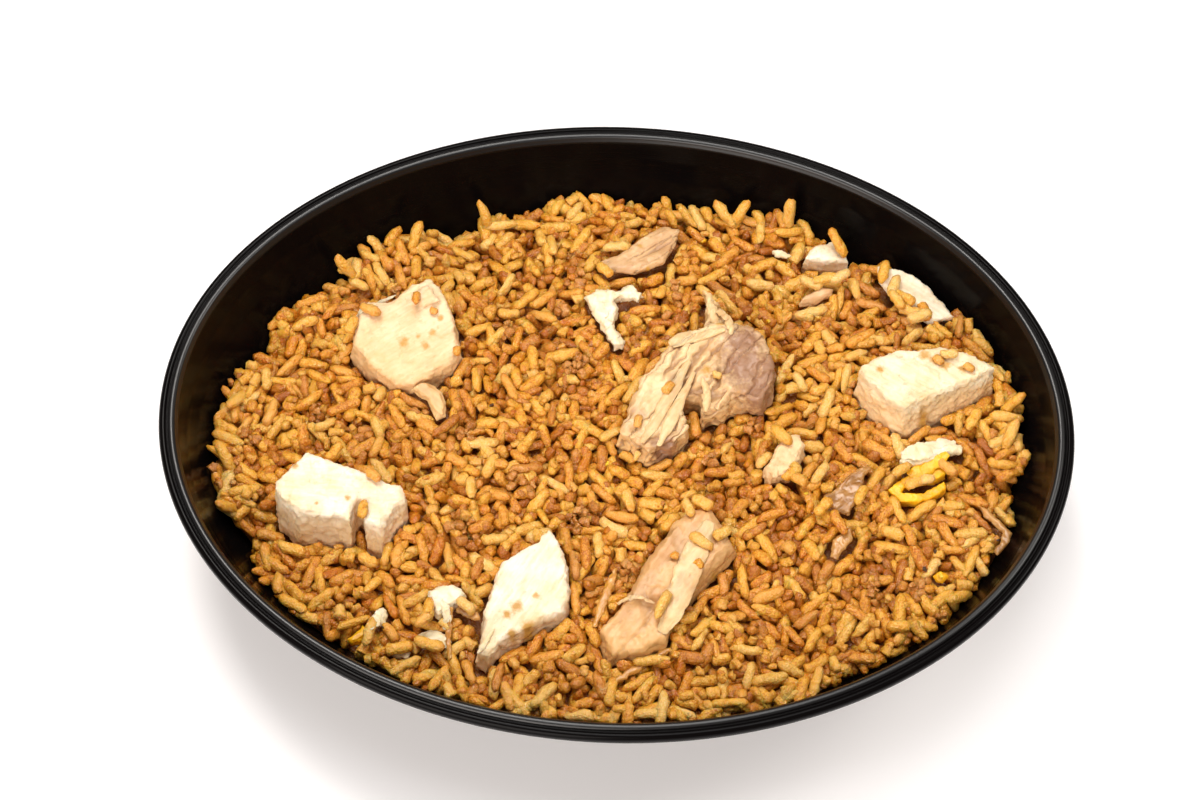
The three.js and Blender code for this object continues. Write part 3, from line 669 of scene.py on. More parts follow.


# %% [markdown]
# Five kinds of grain show: golden ones that fried on the surface, amber ones that took more sauce,
# paler ones that took less, brown soaked ones, and broken ends. The brown ones lie in patches, where
# sauce soaked in, and they are most of the grains deep in the heap, where their brown is painted shade
# of the gaps. Each new grain goes where the heap is still lowest, so the pile grows evenly up to the
# level of the solid. About half of the grains lie flat and the others lean, some of them steeply, as a
# stirred heap has them.

# %% Let the grains fall
KINDS = ("golden", "amber", "pale", "soaked", "broken")
GRAIN_COUNT = 4500
EDGE_COUNT = 420
TRIES = 12
SPOTS = 30
GRAIN_LENGTH = (5.3, 8.7)
BROKEN_LENGTH = (3.2, 5.4)
BROKEN_SHARE = 0.18
GRAIN_WIDTH = (2.4, 3.1)
TOP_LIMIT = 1.9
EDGE_LIMIT = 2.6
DEEP = 1.5
CORE_REACH = 0.985
EDGE_FROM = 0.93
FALL_SPREAD = 1.2
FLAT_SHARE, LEANING_SHARE = 0.48, 0.34
STEEP = 0.45
CROWN = (-0.6, 1.7)
draw = np.random.default_rng(11)


def leaning():
    chance = draw.random()
    if chance < FLAT_SHARE:
        return draw.normal(0, 0.2)
    steep = chance > FLAT_SHARE + LEANING_SHARE
    return draw.choice((-1, 1)) * (draw.uniform(0.8, 1.3) if steep else draw.uniform(0.3, 0.8))


def kind_of(x, y, depth):
    """Soaked brown grains lie in patches, where sauce soaked in, and deep, where their brown is painted
    shade; the others are mixed.
    """
    patch = math.sin(x / 11 + 2) * math.sin(y / 9 + x / 23) + 0.35 * (reach(x, y)[0] > 0.86)
    # deep grains turn brown more often, as painted shade between the grains; near the top only the sauce
    # patches do
    soaked = 0.6 if depth > DEEP else 0.03 + 0.25 * max(0, patch - 0.4)
    if draw.random() < soaked:
        return "soaked"
    return ("golden", "amber", "pale")[draw.choice(3, p=(0.46, 0.36, 0.18))]


def drop(x, y, spread, limit):
    """Lets one grain fall near a point. Returns its kind and its row, or None where it finds no rest."""
    broken = draw.random() < BROKEN_SHARE
    long = draw.uniform(*(BROKEN_LENGTH if broken else GRAIN_LENGTH))
    wide = draw.uniform(*GRAIN_WIDTH)
    half = np.array([long, wide, wide * draw.uniform(0.78, 0.95)]) / 2
    x, y = x + draw.normal(0, spread, TRIES), y + draw.normal(0, spread, TRIES)
    lean = leaning() + draw.normal(0, 0.06, TRIES)
    roll, yaw = draw.uniform(0, 6.3, (2, TRIES))
    crown = draw.uniform(*CROWN) if abs(lean[0]) > STEEP else np.inf
    grain = rest(x, y, half, roll, lean, yaw, limit, crown)
    if grain is None:
        return None
    lay(grain, half)
    depth = float(mound(grain[0], grain[1])) - grain[2]
    kind = "broken" if broken and depth < DEEP else kind_of(grain[0], grain[1], depth)
    return kind, (*grain, *half)


uncovered = topping_height < mound_height - 1
open_cells = np.flatnonzero((plan_share < CORE_REACH) & uncovered)
edge_cells = np.flatnonzero((plan_share > EDGE_FROM) & (plan_share < 1.0) & uncovered)
laid = {kind: [] for kind in KINDS}
skipped = 0
for number in range(GRAIN_COUNT + EDGE_COUNT):
    at_edge = number >= GRAIN_COUNT
    if at_edge:
        spot = edge_cells[draw.integers(0, len(edge_cells))]
    else:
        spots = open_cells[draw.integers(0, len(open_cells), SPOTS)]
        spot = spots[int(np.argmax(heap_level.flat[spots] - surface.flat[spots]))]
    limit = EDGE_LIMIT if at_edge else TOP_LIMIT
    found = drop(plan_x.flat[spot], plan_y.flat[spot], FALL_SPREAD, limit)
    if found is None:
        skipped += 1
    else:
        laid[found[0]].append(found[1])
open_height = (surface - heap_level).flat[open_cells]
print("grains laid:", {kind: len(grains) for kind, grains in laid.items()}, "skipped:", skipped)
print(f"top of the grains is {open_height.mean():.2f} mm from the heap's level")

# %% [markdown]
# Some grains are set one by one, as the photo shows them: a few lie on the chicken or over the edges of
# the toppings, and a few lean on the wall above the others. They rest on the map as the others do.

# %% Grains set one by one
ON_TOPPINGS = (
    # x, y, yaw in degrees, length, kind; first the chunks at the left, from back to front
    (-51.3, 32.7, 91, 3.4, "amber"),
    (-46.8, 30.3, -18, 2.2, "amber"),
    (-40.4, 20.2, 82, 2.6, "amber"),
    (-62.8, 29.9, -21, 5.5, "amber"),
    (-67.3, 26.2, 72, 5.0, "golden"),
    (-67.7, -11.0, 60, 5.0, "golden"),
    (-59.4, -26.3, 89, 4.6, "golden"),
    (-57.6, -17.4, -37, 4.6, "amber"),
    (-82.8, -27.8, -13, 7.0, "amber"),
    (-76.9, -32.7, -17, 7.0, "golden"),
    (-67.1, -34.1, 48, 6.5, "pale"),
    # the chunk at the right
    (81.1, 22.0, 10, 4.4, "pale"),
    (78.5, 20.4, -42, 3.0, "amber"),
    (86.0, 18.7, -42, 3.0, "amber"),
    (90.2, 13.2, 57, 6.5, "golden"),
    (88.0, 9.1, 64, 6.5, "golden"),
    # the middle slab
    (5.4, 0.2, 84, 3.4, "amber"),
    (5.5, -6.8, 69, 2.6, "pale"),
    (24.2, 13.8, -28, 2.4, "pale"),
    (12.4, 9.9, 61, 3.6, "amber"),
    # the strip in front of it
    (21.9, -30.6, -33, 6.4, "golden"),
    (26.8, -28.2, 36, 4.8, "pale"),
    (21.6, -36.2, -46, 2.4, "golden"),
    (15.8, -34.4, -27, 2.2, "amber"),
    (13.2, -47.2, 72, 7.6, "pale"),
    (14.4, -23.1, 51, 5.5, "golden"),
    (18.5, -21.6, -64, 4.8, "pale"),
    (22.0, -20.0, -23, 5.5, "golden"),
    # the slice, the slice by the wall and the bit between them, at the back
    (-2.3, 55.9, 10, 7.0, "pale"),
    (-5.0, 47.8, -41, 5.0, "golden"),
    (65.7, 50.1, 78, 6.5, "golden"),
    (68.3, 46.2, 73, 6.0, "pale"),
    (70.8, 42.7, -29, 6.0, "golden"),
    (72.7, 39.3, -19, 6.5, "golden"),
    (76.0, 39.2, -74, 5.5, "amber"),
    (74.7, 37.4, 26, 6.5, "pale"),
    (68.9, 41.5, -58, 6.0, "golden"),
    (44.0, 49.3, 33, 7.0, "golden"),
    (47.5, 47.0, -21, 6.0, "pale"),
    (51.0, 47.8, 19, 6.5, "golden"),
    (54.8, 48.6, 36, 5.5, "pale"),
    (58.7, 47.6, -72, 6.5, "golden"),
    # the bit right of the middle
    (40.6, 0.5, -44, 6.6, "golden"),
    (42.8, -9.9, 45, 4.0, "golden"),
    (44.2, -8.2, -53, 3.4, "pale"),
    (45.2, -11.5, -27, 4.4, "amber"),
    (41.1, -12.5, -40, 3.6, "golden"),
    (36.6, -4.7, 51, 5.0, "pale"),
    # egg and onion
    (-42.0, -49.9, 89, 6.0, "golden"),
    (-41.4, -57.8, -14, 7.0, "golden"),
    (-38.0, -52.3, -44, 3.4, "pale"),
    (-43.0, -53.1, 46, 4.6, "amber"),
    (-55.9, -54.5, 80, 7.0, "pale"),
    (-48.5, -58.7, 17, 6.5, "golden"),
    (-51.0, -54.0, -52, 6.0, "amber"),
    (-33.3, -48.4, -39, 5.5, "pale"),
    (70.2, -6.4, 37, 5.0, "golden"),
    (81.4, -4.7, -38, 5.5, "amber"),
    (73.3, -9.4, 20, 4.6, "golden"),
    (76.6, -8.4, 10, 3.6, "pale"),
    (51.0, -17.9, 50, 5.5, "golden"),
    (54.9, -21.8, -60, 6.5, "amber"),
    (60.1, -14.6, 67, 5.5, "golden"),
)
SET_WIDTH = 2.8
WALL_GRAIN_LENGTH = 8.2
ON_WALL = (
    # turn in degrees, height of the upper end, tip and yaw to the wall in degrees
    (3.6, 32.0, 40, 60),
    (10.3, 36.5, 50, 10),
    (55.8, 30.0, 35, 70),
    (65.2, 34.4, 62, 15),
    (72.7, 32.0, 50, -30),
    (75.0, 31.0, 30, 60),
    (112.5, 30.0, 60, 20),
    (124.8, 28.0, 40, -50),
    (137.8, 30.0, 55, 25),
    (173.6, 29.5, 30, 70),
    (187.6, 30.5, 35, -60),
    (198.5, 34.6, 60, 15),
)


def set_grain(x, y, long, tip, yaw, kind):
    wide = min(SET_WIDTH, 1.2 + 0.28 * long)
    half = np.array([long, wide, 0.88 * wide]) / 2
    angles = [np.array([math.radians(value)]) for value in (0.0, tip, yaw)]
    grain = rest(np.array([x]), np.array([y]), half, *angles, np.inf)
    lay(grain, half)
    laid[kind].append((*grain, *half))


for x, y, yaw, long, kind in ON_TOPPINGS:
    set_grain(x, y, long, 0.0, yaw, kind)
for turn, height, tip, yaw in ON_WALL:
    long = WALL_GRAIN_LENGTH
    middle = height - long / 2 * math.sin(math.radians(tip))
    inset = float(wall_inset(BOWL_HEIGHT - middle)) + 1.5 + long / 2 * math.cos(math.radians(tip))
    t = math.radians(turn)
    x, y = (HALF_LONG - inset) * math.cos(t), (HALF_SHORT - inset) * math.sin(t)
    outward_yaw = math.degrees(math.atan2(y / HALF_SHORT**2, x / HALF_LONG**2))
    set_grain(x, y, long, -tip, outward_yaw + yaw, "golden")
print("set by hand:", len(ON_TOPPINGS) + len(ON_WALL))

# %% [markdown]
# Between the grains sticks a mash of broken bits, and in some places it lies in brown clumps. Bits are
# small lumps that nestle in the low places of the map. A clump is a number of them dropped round one
# point. The first clumps stand where the photo shows them and the others are drawn.

# %% Bits and clumps
BIT_COUNT = 500
BIT_SIZE = (2.2, 4.0)
CLUMP_BIT_SIZE = (1.8, 3.4)
BIT_TRIES = 8
BIT_LIMIT = 1.6
CLUMPS = (
    # x, y, radius
    (-93.0, -17.1, 4.5),
    (-96.5, -9.8, 3.5),
    (-37.2, 0.6, 3.0),
    (-21.6, -15.2, 3.0),
    (-7.3, -22.7, 3.5),
    (-36.4, -26.6, 3.0),
    (4.4, -35.4, 2.5),
)
CLUMPS_DRAWN = 22
CLUMP_SIZE = (1.8, 3.2)
CLUMP_BITS = 1.6
FLECKS = (
    # x, y, kind
    (78.4, -26.6, "charred"),
    (76.2, -30.5, "charred"),
    (-53.5, -52.8, "charred"),
    (94.2, -22.1, "charred"),
    (-31.0, 8.0, "charred"),
    (37.3, 36.5, "yolky"),
    (20.1, 62.0, "yolky"),
    (-1.5, -7.8, "yolky"),
    (80.0, -33.2, "yolky"),
    (47.0, -13.6, "yolky"),
)
FLECK_SIZE = (1.1, 1.7)


def drop_bit(kind, x, y, spread, limit, size=BIT_SIZE):
    wide = draw.uniform(*size)
    half = wide / 2 * np.array([1, draw.uniform(0.55, 0.9), draw.uniform(0.5, 0.75)])
    x, y = x + draw.normal(0, spread, BIT_TRIES), y + draw.normal(0, spread, BIT_TRIES)
    roll, tip, yaw = draw.uniform(0, 6.3, (3, BIT_TRIES))
    bit = rest(x, y, half, roll, tip, yaw, limit)
    if bit is not None:
        lay(bit, half)
        laid[kind].append((*bit, *half))


for kind in ("crumbled", "clumped", "charred", "yolky"):
    laid[kind] = []
for spot in open_cells[draw.integers(0, len(open_cells), BIT_COUNT)]:
    drop_bit("crumbled", plan_x.flat[spot], plan_y.flat[spot], 0.9, BIT_LIMIT)
drawn = open_cells[draw.integers(0, len(open_cells), CLUMPS_DRAWN)]
clumps = CLUMPS + tuple((plan_x.flat[spot], plan_y.flat[spot], draw.uniform(*CLUMP_SIZE)) for spot in drawn)
for x, y, radius in clumps:
    for _ in range(int(CLUMP_BITS * radius**2)):
        spot = np.array([x, y]) + draw.normal(0, radius * 0.45, 2)
        drop_bit("clumped", *spot, 0.4, BIT_LIMIT + 0.6, CLUMP_BIT_SIZE)
for x, y, kind in FLECKS:
    drop_bit(kind, x, y, 0.2, np.inf, FLECK_SIZE)
print("bits:", len(laid["crumbled"]), "in clumps:", len(laid["clumped"]))

# %% [markdown]
# Grains that ended up wholly under others never show, so they are taken out again before any mesh is
# made of them. A grain shows where some point of it comes up to the finished height map.

# %% Take out what is hidden
SHOWS = 0.3


def shows(row):
    x, y, z, roll, tip, yaw, *half = row
    shape = turned(COVER * half, np.array([roll]), np.array([tip]), np.array([yaw]))[0]
    return bool((z + shape[:, 2] > surface[cells(x + shape[:, 0], y + shape[:, 1])] - SHOWS).any())


for kind, rows in laid.items():
    kept = [row for row in rows if shows(row)]
    print(f"{kind}: {len(kept)} of {len(rows)} show")
    laid[kind] = kept

# %% [markdown]
# ## Grain meshes
# Each kind has a few master grains, no two of one form: slim, plump, bent, pinched and burst ones. A
# grain is repeated hundreds of times, so it has only 64 faces and is shaded smooth. Every point
# of a master keeps how far along the grain it lies, which the finish uses for its darker germ end.

# %% Master grains
RING_PLACES = (0.96, 0.76, 0.38, 0.0, -0.38, -0.76, -0.96)
GRAIN_RINGS = len(RING_PLACES)
GRAIN_SIDES = 8
MASTER_COUNT = 12
KNOBBLY = 0.1


def master_grain(name, cut):
    """A unit grain along X. A cut of 1 is a whole grain; less gives it a broken end."""
    full, taper, bend = draw.uniform(2.8, 5.6), draw.uniform(-0.2, 0.2), draw.uniform(-0.26, 0.26)
    waist, flat = draw.uniform(0, 0.08), draw.uniform(-0.1, 0.1)
    stations = np.array(RING_PLACES) * (0.5 + 0.5 * cut) - 0.5 * (1 - cut)
    points = [(-1.0, 0.0, -bend)]
    for s in stations[::-1]:
        radius = math.sqrt(max(0.06, 1 - abs(s) ** full)) * (1 + taper * s) * (1 - waist * math.cos(3 * s))
        aside, lift = draw.uniform(-KNOBBLY, KNOBBLY, 2)
        for k in range(GRAIN_SIDES):
            turn = 2 * math.pi * (k + 0.5 * s) / GRAIN_SIDES
            knob = radius * (1 + flat * math.cos(2 * turn) + draw.uniform(-KNOBBLY, KNOBBLY))
            points.append((
                float(s) + draw.uniform(-0.03, 0.03),
                knob * math.cos(turn) + aside,
                knob * math.sin(turn) + lift - bend * float(s) ** 2,
            ))
    tip = float(stations[0]) + (0.04 if cut < 1 else 1 - float(stations[0]))
    points.append((tip, 0.0, -bend * tip**2))
    last = len(points) - 1
    faces = []
    for k in range(GRAIN_SIDES):
        after = (k + 1) % GRAIN_SIDES
        faces.append((0, 1 + after, 1 + k))
        for ring in range(GRAIN_RINGS - 1):
            start = 1 + ring * GRAIN_SIDES
            faces.append((start + k, start + after, start + GRAIN_SIDES + after, start + GRAIN_SIDES + k))
        start = 1 + (GRAIN_RINGS - 1) * GRAIN_SIDES
        faces.append((start + k, start + after, last))
    mesh = bpy.data.meshes.new(name)
    mesh.from_pydata(points, [], faces)
    along = mesh.attributes.new("along", "FLOAT", "POINT")
    along.data.foreach_set("value", [p[0] for p in points])
    return bpy.data.objects.new(name, mesh)


def master_bit(name):
    """A rough round lump of unit half size."""
    shape = bmesh.new()
    bmesh.ops.create_icosphere(shape, subdivisions=2, radius=1)
    for point in shape.verts:
        point.co *= draw.uniform(0.72, 1.12)
    mesh = bpy.data.meshes.new(name)
    shape.to_mesh(mesh)
    shape.free()
    mesh.attributes.new("along", "FLOAT", "POINT")
    return bpy.data.objects.new(name, mesh)


MASTER_SETS = {
    "whole": lambda name: master_grain(name, 1.0),
    "broken": lambda name: master_grain(name, 0.55),
    "bit": master_bit,
}
masters = {}
for label, make in MASTER_SETS.items():
    masters[label] = bpy.data.collections.new(f"{label}_masters")
    for number in range(MASTER_COUNT):
        masters[label].objects.link(make(f"{label}_{number:02d}"))

# %% [markdown]
# ## The rice's finish
# Fried rice is soft starch, stained by soy and oil. Light goes a little way in and comes out warmer,
# and a thin film of oil gives small sharp highlights. The tone differs from grain to grain and along a
# grain, and the germ end, where the sauce soaks in first, is darker. On top of that, grains lying low
# in the heap are painted a little darker and high ones lighter, which is painted shade and light.

# %% Fried rice
RICE_COLOURS = {
    "golden": ("#be6e02", "#e0a434", "#e2b05c"),
    "amber": ("#b05e02", "#d8942c", "#dea44e"),
    "pale": ("#c48616", "#e0ae50", "#e6bc74"),
    "soaked": ("#9e5402", "#c47f26", "#d09246"),
    "broken": ("#b66a02", "#dca034", "#e2b05c"),
    "crumbled": ("#ac6202", "#d0932e", "#daa452"),
    "clumped": ("#90500e", "#b8762a", "#c88c48"),
    "charred": ("#241006", "#3c2210", "#543418"),
    "yolky": ("#dc9408", "#eeb41c", "#f6c83c"),
    # the core under the grains: its browns, darker than the grains', are partly sauce and partly painted
    # shade of the gaps
    "core": ("#864806", "#ac6c1c", "#c08632"),
}


def fried_rice(kind):
    made, tree, shader = material(f"fried_rice_{kind}")
    dark, middle, light = RICE_COLOURS[kind]
    place = add(tree, "ShaderNodeTexCoord").outputs["Object"]
    blotch = mottle(tree, place, 1.5 * MM, 3.0)
    fleck = mottle(tree, place, 0.38 * MM, 2.0)
    mottled = reckon(tree, "MULTIPLY_ADD", blotch, 1.2, named(tree, "tone"))
    mixed = reckon(tree, "MULTIPLY_ADD", fleck, 1.5, mottled)
    shifted = reckon(tree, "SUBTRACT", mixed, 1.35)
    colour = ramp(tree, shifted, ((0.0, dark), (0.5, middle), (1.0, light)))
    end = spread(tree, named(tree, "along"), 0.55, 1.0, 0, 0.5)
    relief = bump(tree, mottle(tree, place, 0.6 * MM, 4.0), 0.9, 0.6 * MM)
    plug(tree, shader, {
        "Base Color": blended(tree, end, colour, linear(dark)),
        "Normal": relief,
        "Coat Normal": relief,
        "Roughness": spread(tree, blotch, 0, 1, 0.22, 0.55),
        "IOR": 1.45,
        "Specular IOR Level": 0.4,
        "Coat Weight": 0.55,
        "Coat Roughness": 0.12,
        "Subsurface Weight": 0.4,
        "Subsurface Radius": (1.0, 0.45, 0.15),
        "Subsurface Scale": 1.5 * MM,
    })
    return made


print("rice finishes:", ", ".join(RICE_COLOURS))

# %% [markdown]
# Geometry Nodes set a master grain on each resting place. The turn, the size and the master's number
# are kept on the points, so the tree only has to read them. Real grains are dented where they press
# on each other, so noise moves the points of the real geometry a little.

# %% Grain tree: a master on every resting place
def spaced_noise(tree, place, spacing):
    """Noise whose bumps are a given distance apart, which may come from a socket."""
    scale = reckon(tree, "DIVIDE", 1.0, spacing)
    return add(tree, "ShaderNodeTexNoise", {"Vector": place, "Scale": scale, "Detail": 2.0})


def jitter(tree, place, spacing):
    """Noise in three directions, round zero."""
    torn = spaced_noise(tree, place, spacing).outputs["Color"]
    return reckon_vector(tree, "SUBTRACT", torn, (0.5, 0.5, 0.5))


def grain_tree():
    tree, given = geometry_tree(
        "grains_at_rest",
        {
            "Masters": "NodeSocketCollection",
            "Plumpness": "NodeSocketFloat",
            "Dent size": "NodeSocketFloat",
            "Dent depth": "NodeSocketFloat",
            "Finish": "NodeSocketMaterial",
        },
    )
    masters = add(
        tree,
        "GeometryNodeCollectionInfo",
        {"Collection": given.outputs["Masters"], "Separate Children": True, "Reset Children": True},
    )
    kept = {}
    for label, kind in (("angles", "FLOAT_VECTOR"), ("half_size", "FLOAT_VECTOR"), ("master", "INT")):
        found = add(tree, "GeometryNodeInputNamedAttribute", {"Name": label}, data_type=kind)
        kept[label] = found.outputs["Attribute"]
    placed = add(
        tree,
        "GeometryNodeInstanceOnPoints",
        {
            "Points": add(tree, "GeometryNodeMeshToPoints", {"Mesh": given.outputs["Geometry"]}).outputs[0],
            "Instance": masters.outputs[0],
            "Pick Instance": True,
            "Instance Index": kept["master"],
            "Rotation": add(tree, "FunctionNodeEulerToRotation", {0: kept["angles"]}).outputs[0],
            "Scale": reckon_vector(tree, "MULTIPLY", kept["half_size"], given.outputs["Plumpness"]),
        },
    )
    real = add(tree, "GeometryNodeRealizeInstances", {"Geometry": placed.outputs[0]}).outputs[0]
    place = add(tree, "GeometryNodeInputPosition").outputs[0]
    dent = reckon_vector(
        tree, "SCALE", jitter(tree, place, given.outputs["Dent size"]), given.outputs["Dent depth"]
    )
    uneven = add(tree, "GeometryNodeSetPosition", {"Geometry": real, "Offset": dent}).outputs[0]
    hand_out(tree, uneven, given.outputs["Finish"])
    return tree


# %% Rice
PLUMPNESS = 1.06
DENT_SIZE = 1.6
DENT_DEPTH = 1.15
DENT_OF_KIND = {"crumbled": 1.3, "clumped": 1.7}
# per mm above or below the heap's level a grain is painted lighter or darker: painted light and shade
PAINTED_SHADE_BY_HEIGHT = 0.09
TONE_OF_PATCH = 0.11
MASTERS_OF_KIND = {
    "broken": "broken", "crumbled": "broken", "clumped": "broken", "charred": "bit", "yolky": "bit",
}


def grain_layer(kind, grains, tree):
    """All grains of one kind, as one piece."""
    table = np.array(grains)
    mesh = bpy.data.meshes.new(f"places_{kind}")
    mesh.from_pydata((table[:, :3] * MM).tolist(), [], [])
    for name, values in (("angles", table[:, 3:6]), ("half_size", table[:, 6:9] * MM)):
        attribute = mesh.attributes.new(name, "FLOAT_VECTOR", "POINT")
        attribute.data.foreach_set("vector", values.astype(np.float32).ravel())
    number = mesh.attributes.new("master", "INT", "POINT")
    number.data.foreach_set("value", draw.integers(0, MASTER_COUNT, len(grains)).astype(np.int32))
    tone = mesh.attributes.new("tone", "FLOAT", "POINT")
    x, y = table[:, 0], table[:, 1]
    # how far a grain lies above or below the heap's level adds painted light and shade to its tone
    above = (table[:, 2] - mound(x, y)).clip(-2, 2)
    patch = np.sin(x / 8 + 1.7 * np.sin(y / 9)) * np.cos(y / 7 - x / 15)
    tones = draw.normal(0.48, 0.15, len(grains)) + PAINTED_SHADE_BY_HEIGHT * above + TONE_OF_PATCH * patch
    tone.data.foreach_set("value", tones.clip(0, 1).astype(np.float32))
    inputs = {
        "Masters": masters[MASTERS_OF_KIND.get(kind, "whole")],
        "Plumpness": PLUMPNESS,
        "Dent size": DENT_SIZE * MM,
        "Dent depth": DENT_OF_KIND.get(kind, DENT_DEPTH) * MM,
        "Finish": fried_rice(kind),
    }
    piece = finished(bare_object(f"places_{kind}", mesh), tree, inputs, f"rice_{kind}")
    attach(piece, "root")
    piece.data.calc_loop_triangles()
    print(f"{piece.name}: {len(grains)} grains, {len(piece.data.loop_triangles)} triangles")
    return piece


grains_at_rest = grain_tree()
rice_layers = [grain_layer(kind, rows, grains_at_rest) for kind, rows in laid.items()]

# %% [markdown]
# Under the grains lies a core of packed rice and sauce. It is seen only in the gaps, as a brown mash, so
# it has lumps of the size of bits and no grains of its own. Its browns, darker than the grains', are
# partly sauce and partly painted shade of the gaps. It fits the bowl down to its floor.

# %% Core of the heap
CORE_RINGS = 80
CORE_STEPS = 400
LUMP = 0.9
CORE_RISE = 0.8
CORE_DEPTHS = (28, 33, 36.5, 38)


def rice_core():
    turns = np.linspace(0, 2 * math.pi, CORE_STEPS, endpoint=False)
    inset = wall_inset(BOWL_HEIGHT - edge_height(turns)) + EDGE_GAP
    below = CORE_DROP - CORE_RISE
    points = [(0.0, 0.0, float(mound(0.0, 0.0)) - below)]
    for share in np.linspace(0, 1, CORE_RINGS + 1)[1:] * CORE_REACH:
        x = (HALF_LONG - inset) * np.cos(turns) * share
        y = (HALF_SHORT - inset) * np.sin(turns) * share
        lump = [LUMP * noise.noise(Vector((a / 1.7, b / 1.7, 0))) for a, b in zip(x, y)]
        points += list(zip(x, y, mound(x, y) - below + lump))
    for depth in CORE_DEPTHS:
        deep = float(wall_inset(depth)) + EDGE_GAP
        height = max(BOWL_HEIGHT - depth, BOWL_HEIGHT - BOWL_DEPTH + EDGE_GAP)
        points += [
            ((HALF_LONG - deep) * math.cos(t), (HALF_SHORT - deep) * math.sin(t), height) for t in turns
        ]
    rings = (len(points) - 1) // CORE_STEPS
    faces = [(0, 1 + k, 1 + (k + 1) % CORE_STEPS) for k in range(CORE_STEPS)]
    for ring in range(rings - 1):
        start = 1 + ring * CORE_STEPS
        for k in range(CORE_STEPS):
            after = (k + 1) % CORE_STEPS
            faces.append((start + k, start + CORE_STEPS + k, start + CORE_STEPS + after, start + after))
    start = 1 + (rings - 1) * CORE_STEPS
    faces.append([start + k for k in range(CORE_STEPS)][::-1])
    mesh = bpy.data.meshes.new("rice_core")
    mesh.from_pydata([(float(x) * MM, float(y) * MM, float(z) * MM) for x, y, z in points], [], faces)
    mesh.polygons.foreach_set("use_smooth", [True] * len(mesh.polygons))
    # darker rice colours: partly sauce, partly painted shade of the gaps between the grains
    mesh.materials.append(fried_rice("core"))
    return bare_object("rice_core", mesh)


core = rice_core()
outward(core)
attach(core, "root")
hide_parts("rice")
print("core faces:", len(core.data.polygons))

# %% [markdown]
# ## Toppings
# Each topping starts from a copy of its own solid, so it keeps its place and its cut form. The copy is
# remeshed into small even faces, its edges are worn round, and then a relief is worked into it: soft
# lumps, fibres that run one way through the meat, cracks between them, pits and a fine grit. Torn food
# has no straight edge either, so its points are also shifted sideways a little. Geometry Nodes do all
# that with noise, stretched along the fibres, and keep how deep each point lies for the finish.

# %% Relief tree
RELIEF_SIZES = ("Lump", "Fibre", "Grit", "Rag", "Pit", "Crack")


def relief_tree():
    inputs = {f"{label} {part}": "NodeSocketFloat" for label in RELIEF_SIZES for part in ("size", "depth")}
    inputs |= {f"Fibre {part}": "NodeSocketFloat" for part in ("turn", "tip", "length")}
    tree, given = geometry_tree("food_relief", inputs | {"Finish": "NodeSocketMaterial"})
    size = {label: given.outputs[f"{label} size"] for label in RELIEF_SIZES}
    depth = {label: given.outputs[f"{label} depth"] for label in RELIEF_SIZES}
    place = add(tree, "GeometryNodeInputPosition").outputs[0]
    along = place
    for angle, axis in (("Fibre turn", "Z_AXIS"), ("Fibre tip", "Y_AXIS")):
        sockets = {"Vector": along, "Angle": given.outputs[angle]}
        along = add(tree, "ShaderNodeVectorRotate", sockets, rotation_type=axis, invert=True).outputs[0]
    sizes = {"X": given.outputs["Fibre length"], "Y": size["Fibre"], "Z": size["Fibre"]}
    scale = add(tree, "ShaderNodeCombineXYZ", sizes).outputs[0]
    stretched = reckon_vector(tree, "DIVIDE", along, scale)
    fibre = add(tree, "ShaderNodeTexNoise", {"Vector": stretched, "Scale": 1.0, "Detail": 2.0})
    coarse = reckon(tree, "DIVIDE", size["Fibre"], size["Crack"])
    split = add(tree, "ShaderNodeTexNoise", {"Vector": stretched, "Scale": coarse, "Detail": 1.0})
    near_split = reckon(tree, "ABSOLUTE", reckon(tree, "SUBTRACT", split.outputs["Fac"], 0.5))
    pit = spaced_noise(tree, place, size["Pit"])
    parts = {
        "Lump": spread(tree, spaced_noise(tree, place, size["Lump"]).outputs["Fac"], 0, 1, -1.5, 1.5),
        "Fibre": spread(tree, fibre.outputs["Fac"], 0, 1, -1.5, 1.5),
        "Grit": spread(tree, spaced_noise(tree, place, size["Grit"]).outputs["Fac"], 0, 1, -1.5, 1.5),
        "Pit": spread(tree, pit.outputs["Fac"], 0.56, 0.7, 0, -1, interpolation_type="SMOOTHSTEP"),
        "Crack": spread(tree, near_split, 0, 0.035, -1, 0, interpolation_type="SMOOTHSTEP"),
    }
    height = 0.0
    for label, value in parts.items():
        height = reckon(tree, "ADD", height, reckon(tree, "MULTIPLY", value, depth[label]))
    deep = spread(tree, height, 0, -0.7 * MM, 0, 1)
    marked = keep(tree, given.outputs["Geometry"], "hollow", deep)
    normal = add(tree, "GeometryNodeInputNormal").outputs[0]
    push = reckon_vector(tree, "SCALE", normal, height)
    rag = reckon_vector(tree, "SCALE", jitter(tree, place, size["Rag"]), depth["Rag"])
    flat = reckon_vector(tree, "MULTIPLY", rag, (1, 1, 0.4))
    shift = reckon_vector(tree, "ADD", push, flat)
    moved = add(tree, "GeometryNodeSetPosition", {"Geometry": marked, "Offset": shift}).outputs[0]
    hand_out(tree, moved, given.outputs["Finish"])
    return tree


food_relief = relief_tree()

# %% [markdown]
# ## Finishes of the toppings
# Boiled breast meat is white to cream, matt, and light travels some millimetres in it. Below its top
# each topping turns golden and darker where it lay against the rice: partly sauce that soaked in, partly
# painted shade and painted warm light thrown back by the rice. Thigh meat and skin are pinker and
# browner. Egg white is smooth and bright, yolk is a dense yellow crumb, and onion has gone thin, brown
# and glassy. In all of them the hollows of the relief are a tone darker.

# %% Meat, egg and onion
STAIN = "#bc8a34"
SKIN = "#94694e"
# colour of the pieces' lower sides: partly sauce soaked in, partly painted shade and warm light thrown back
# by the rice
SAUCE_AND_SHADE_COLOUR = "#e0ac66"

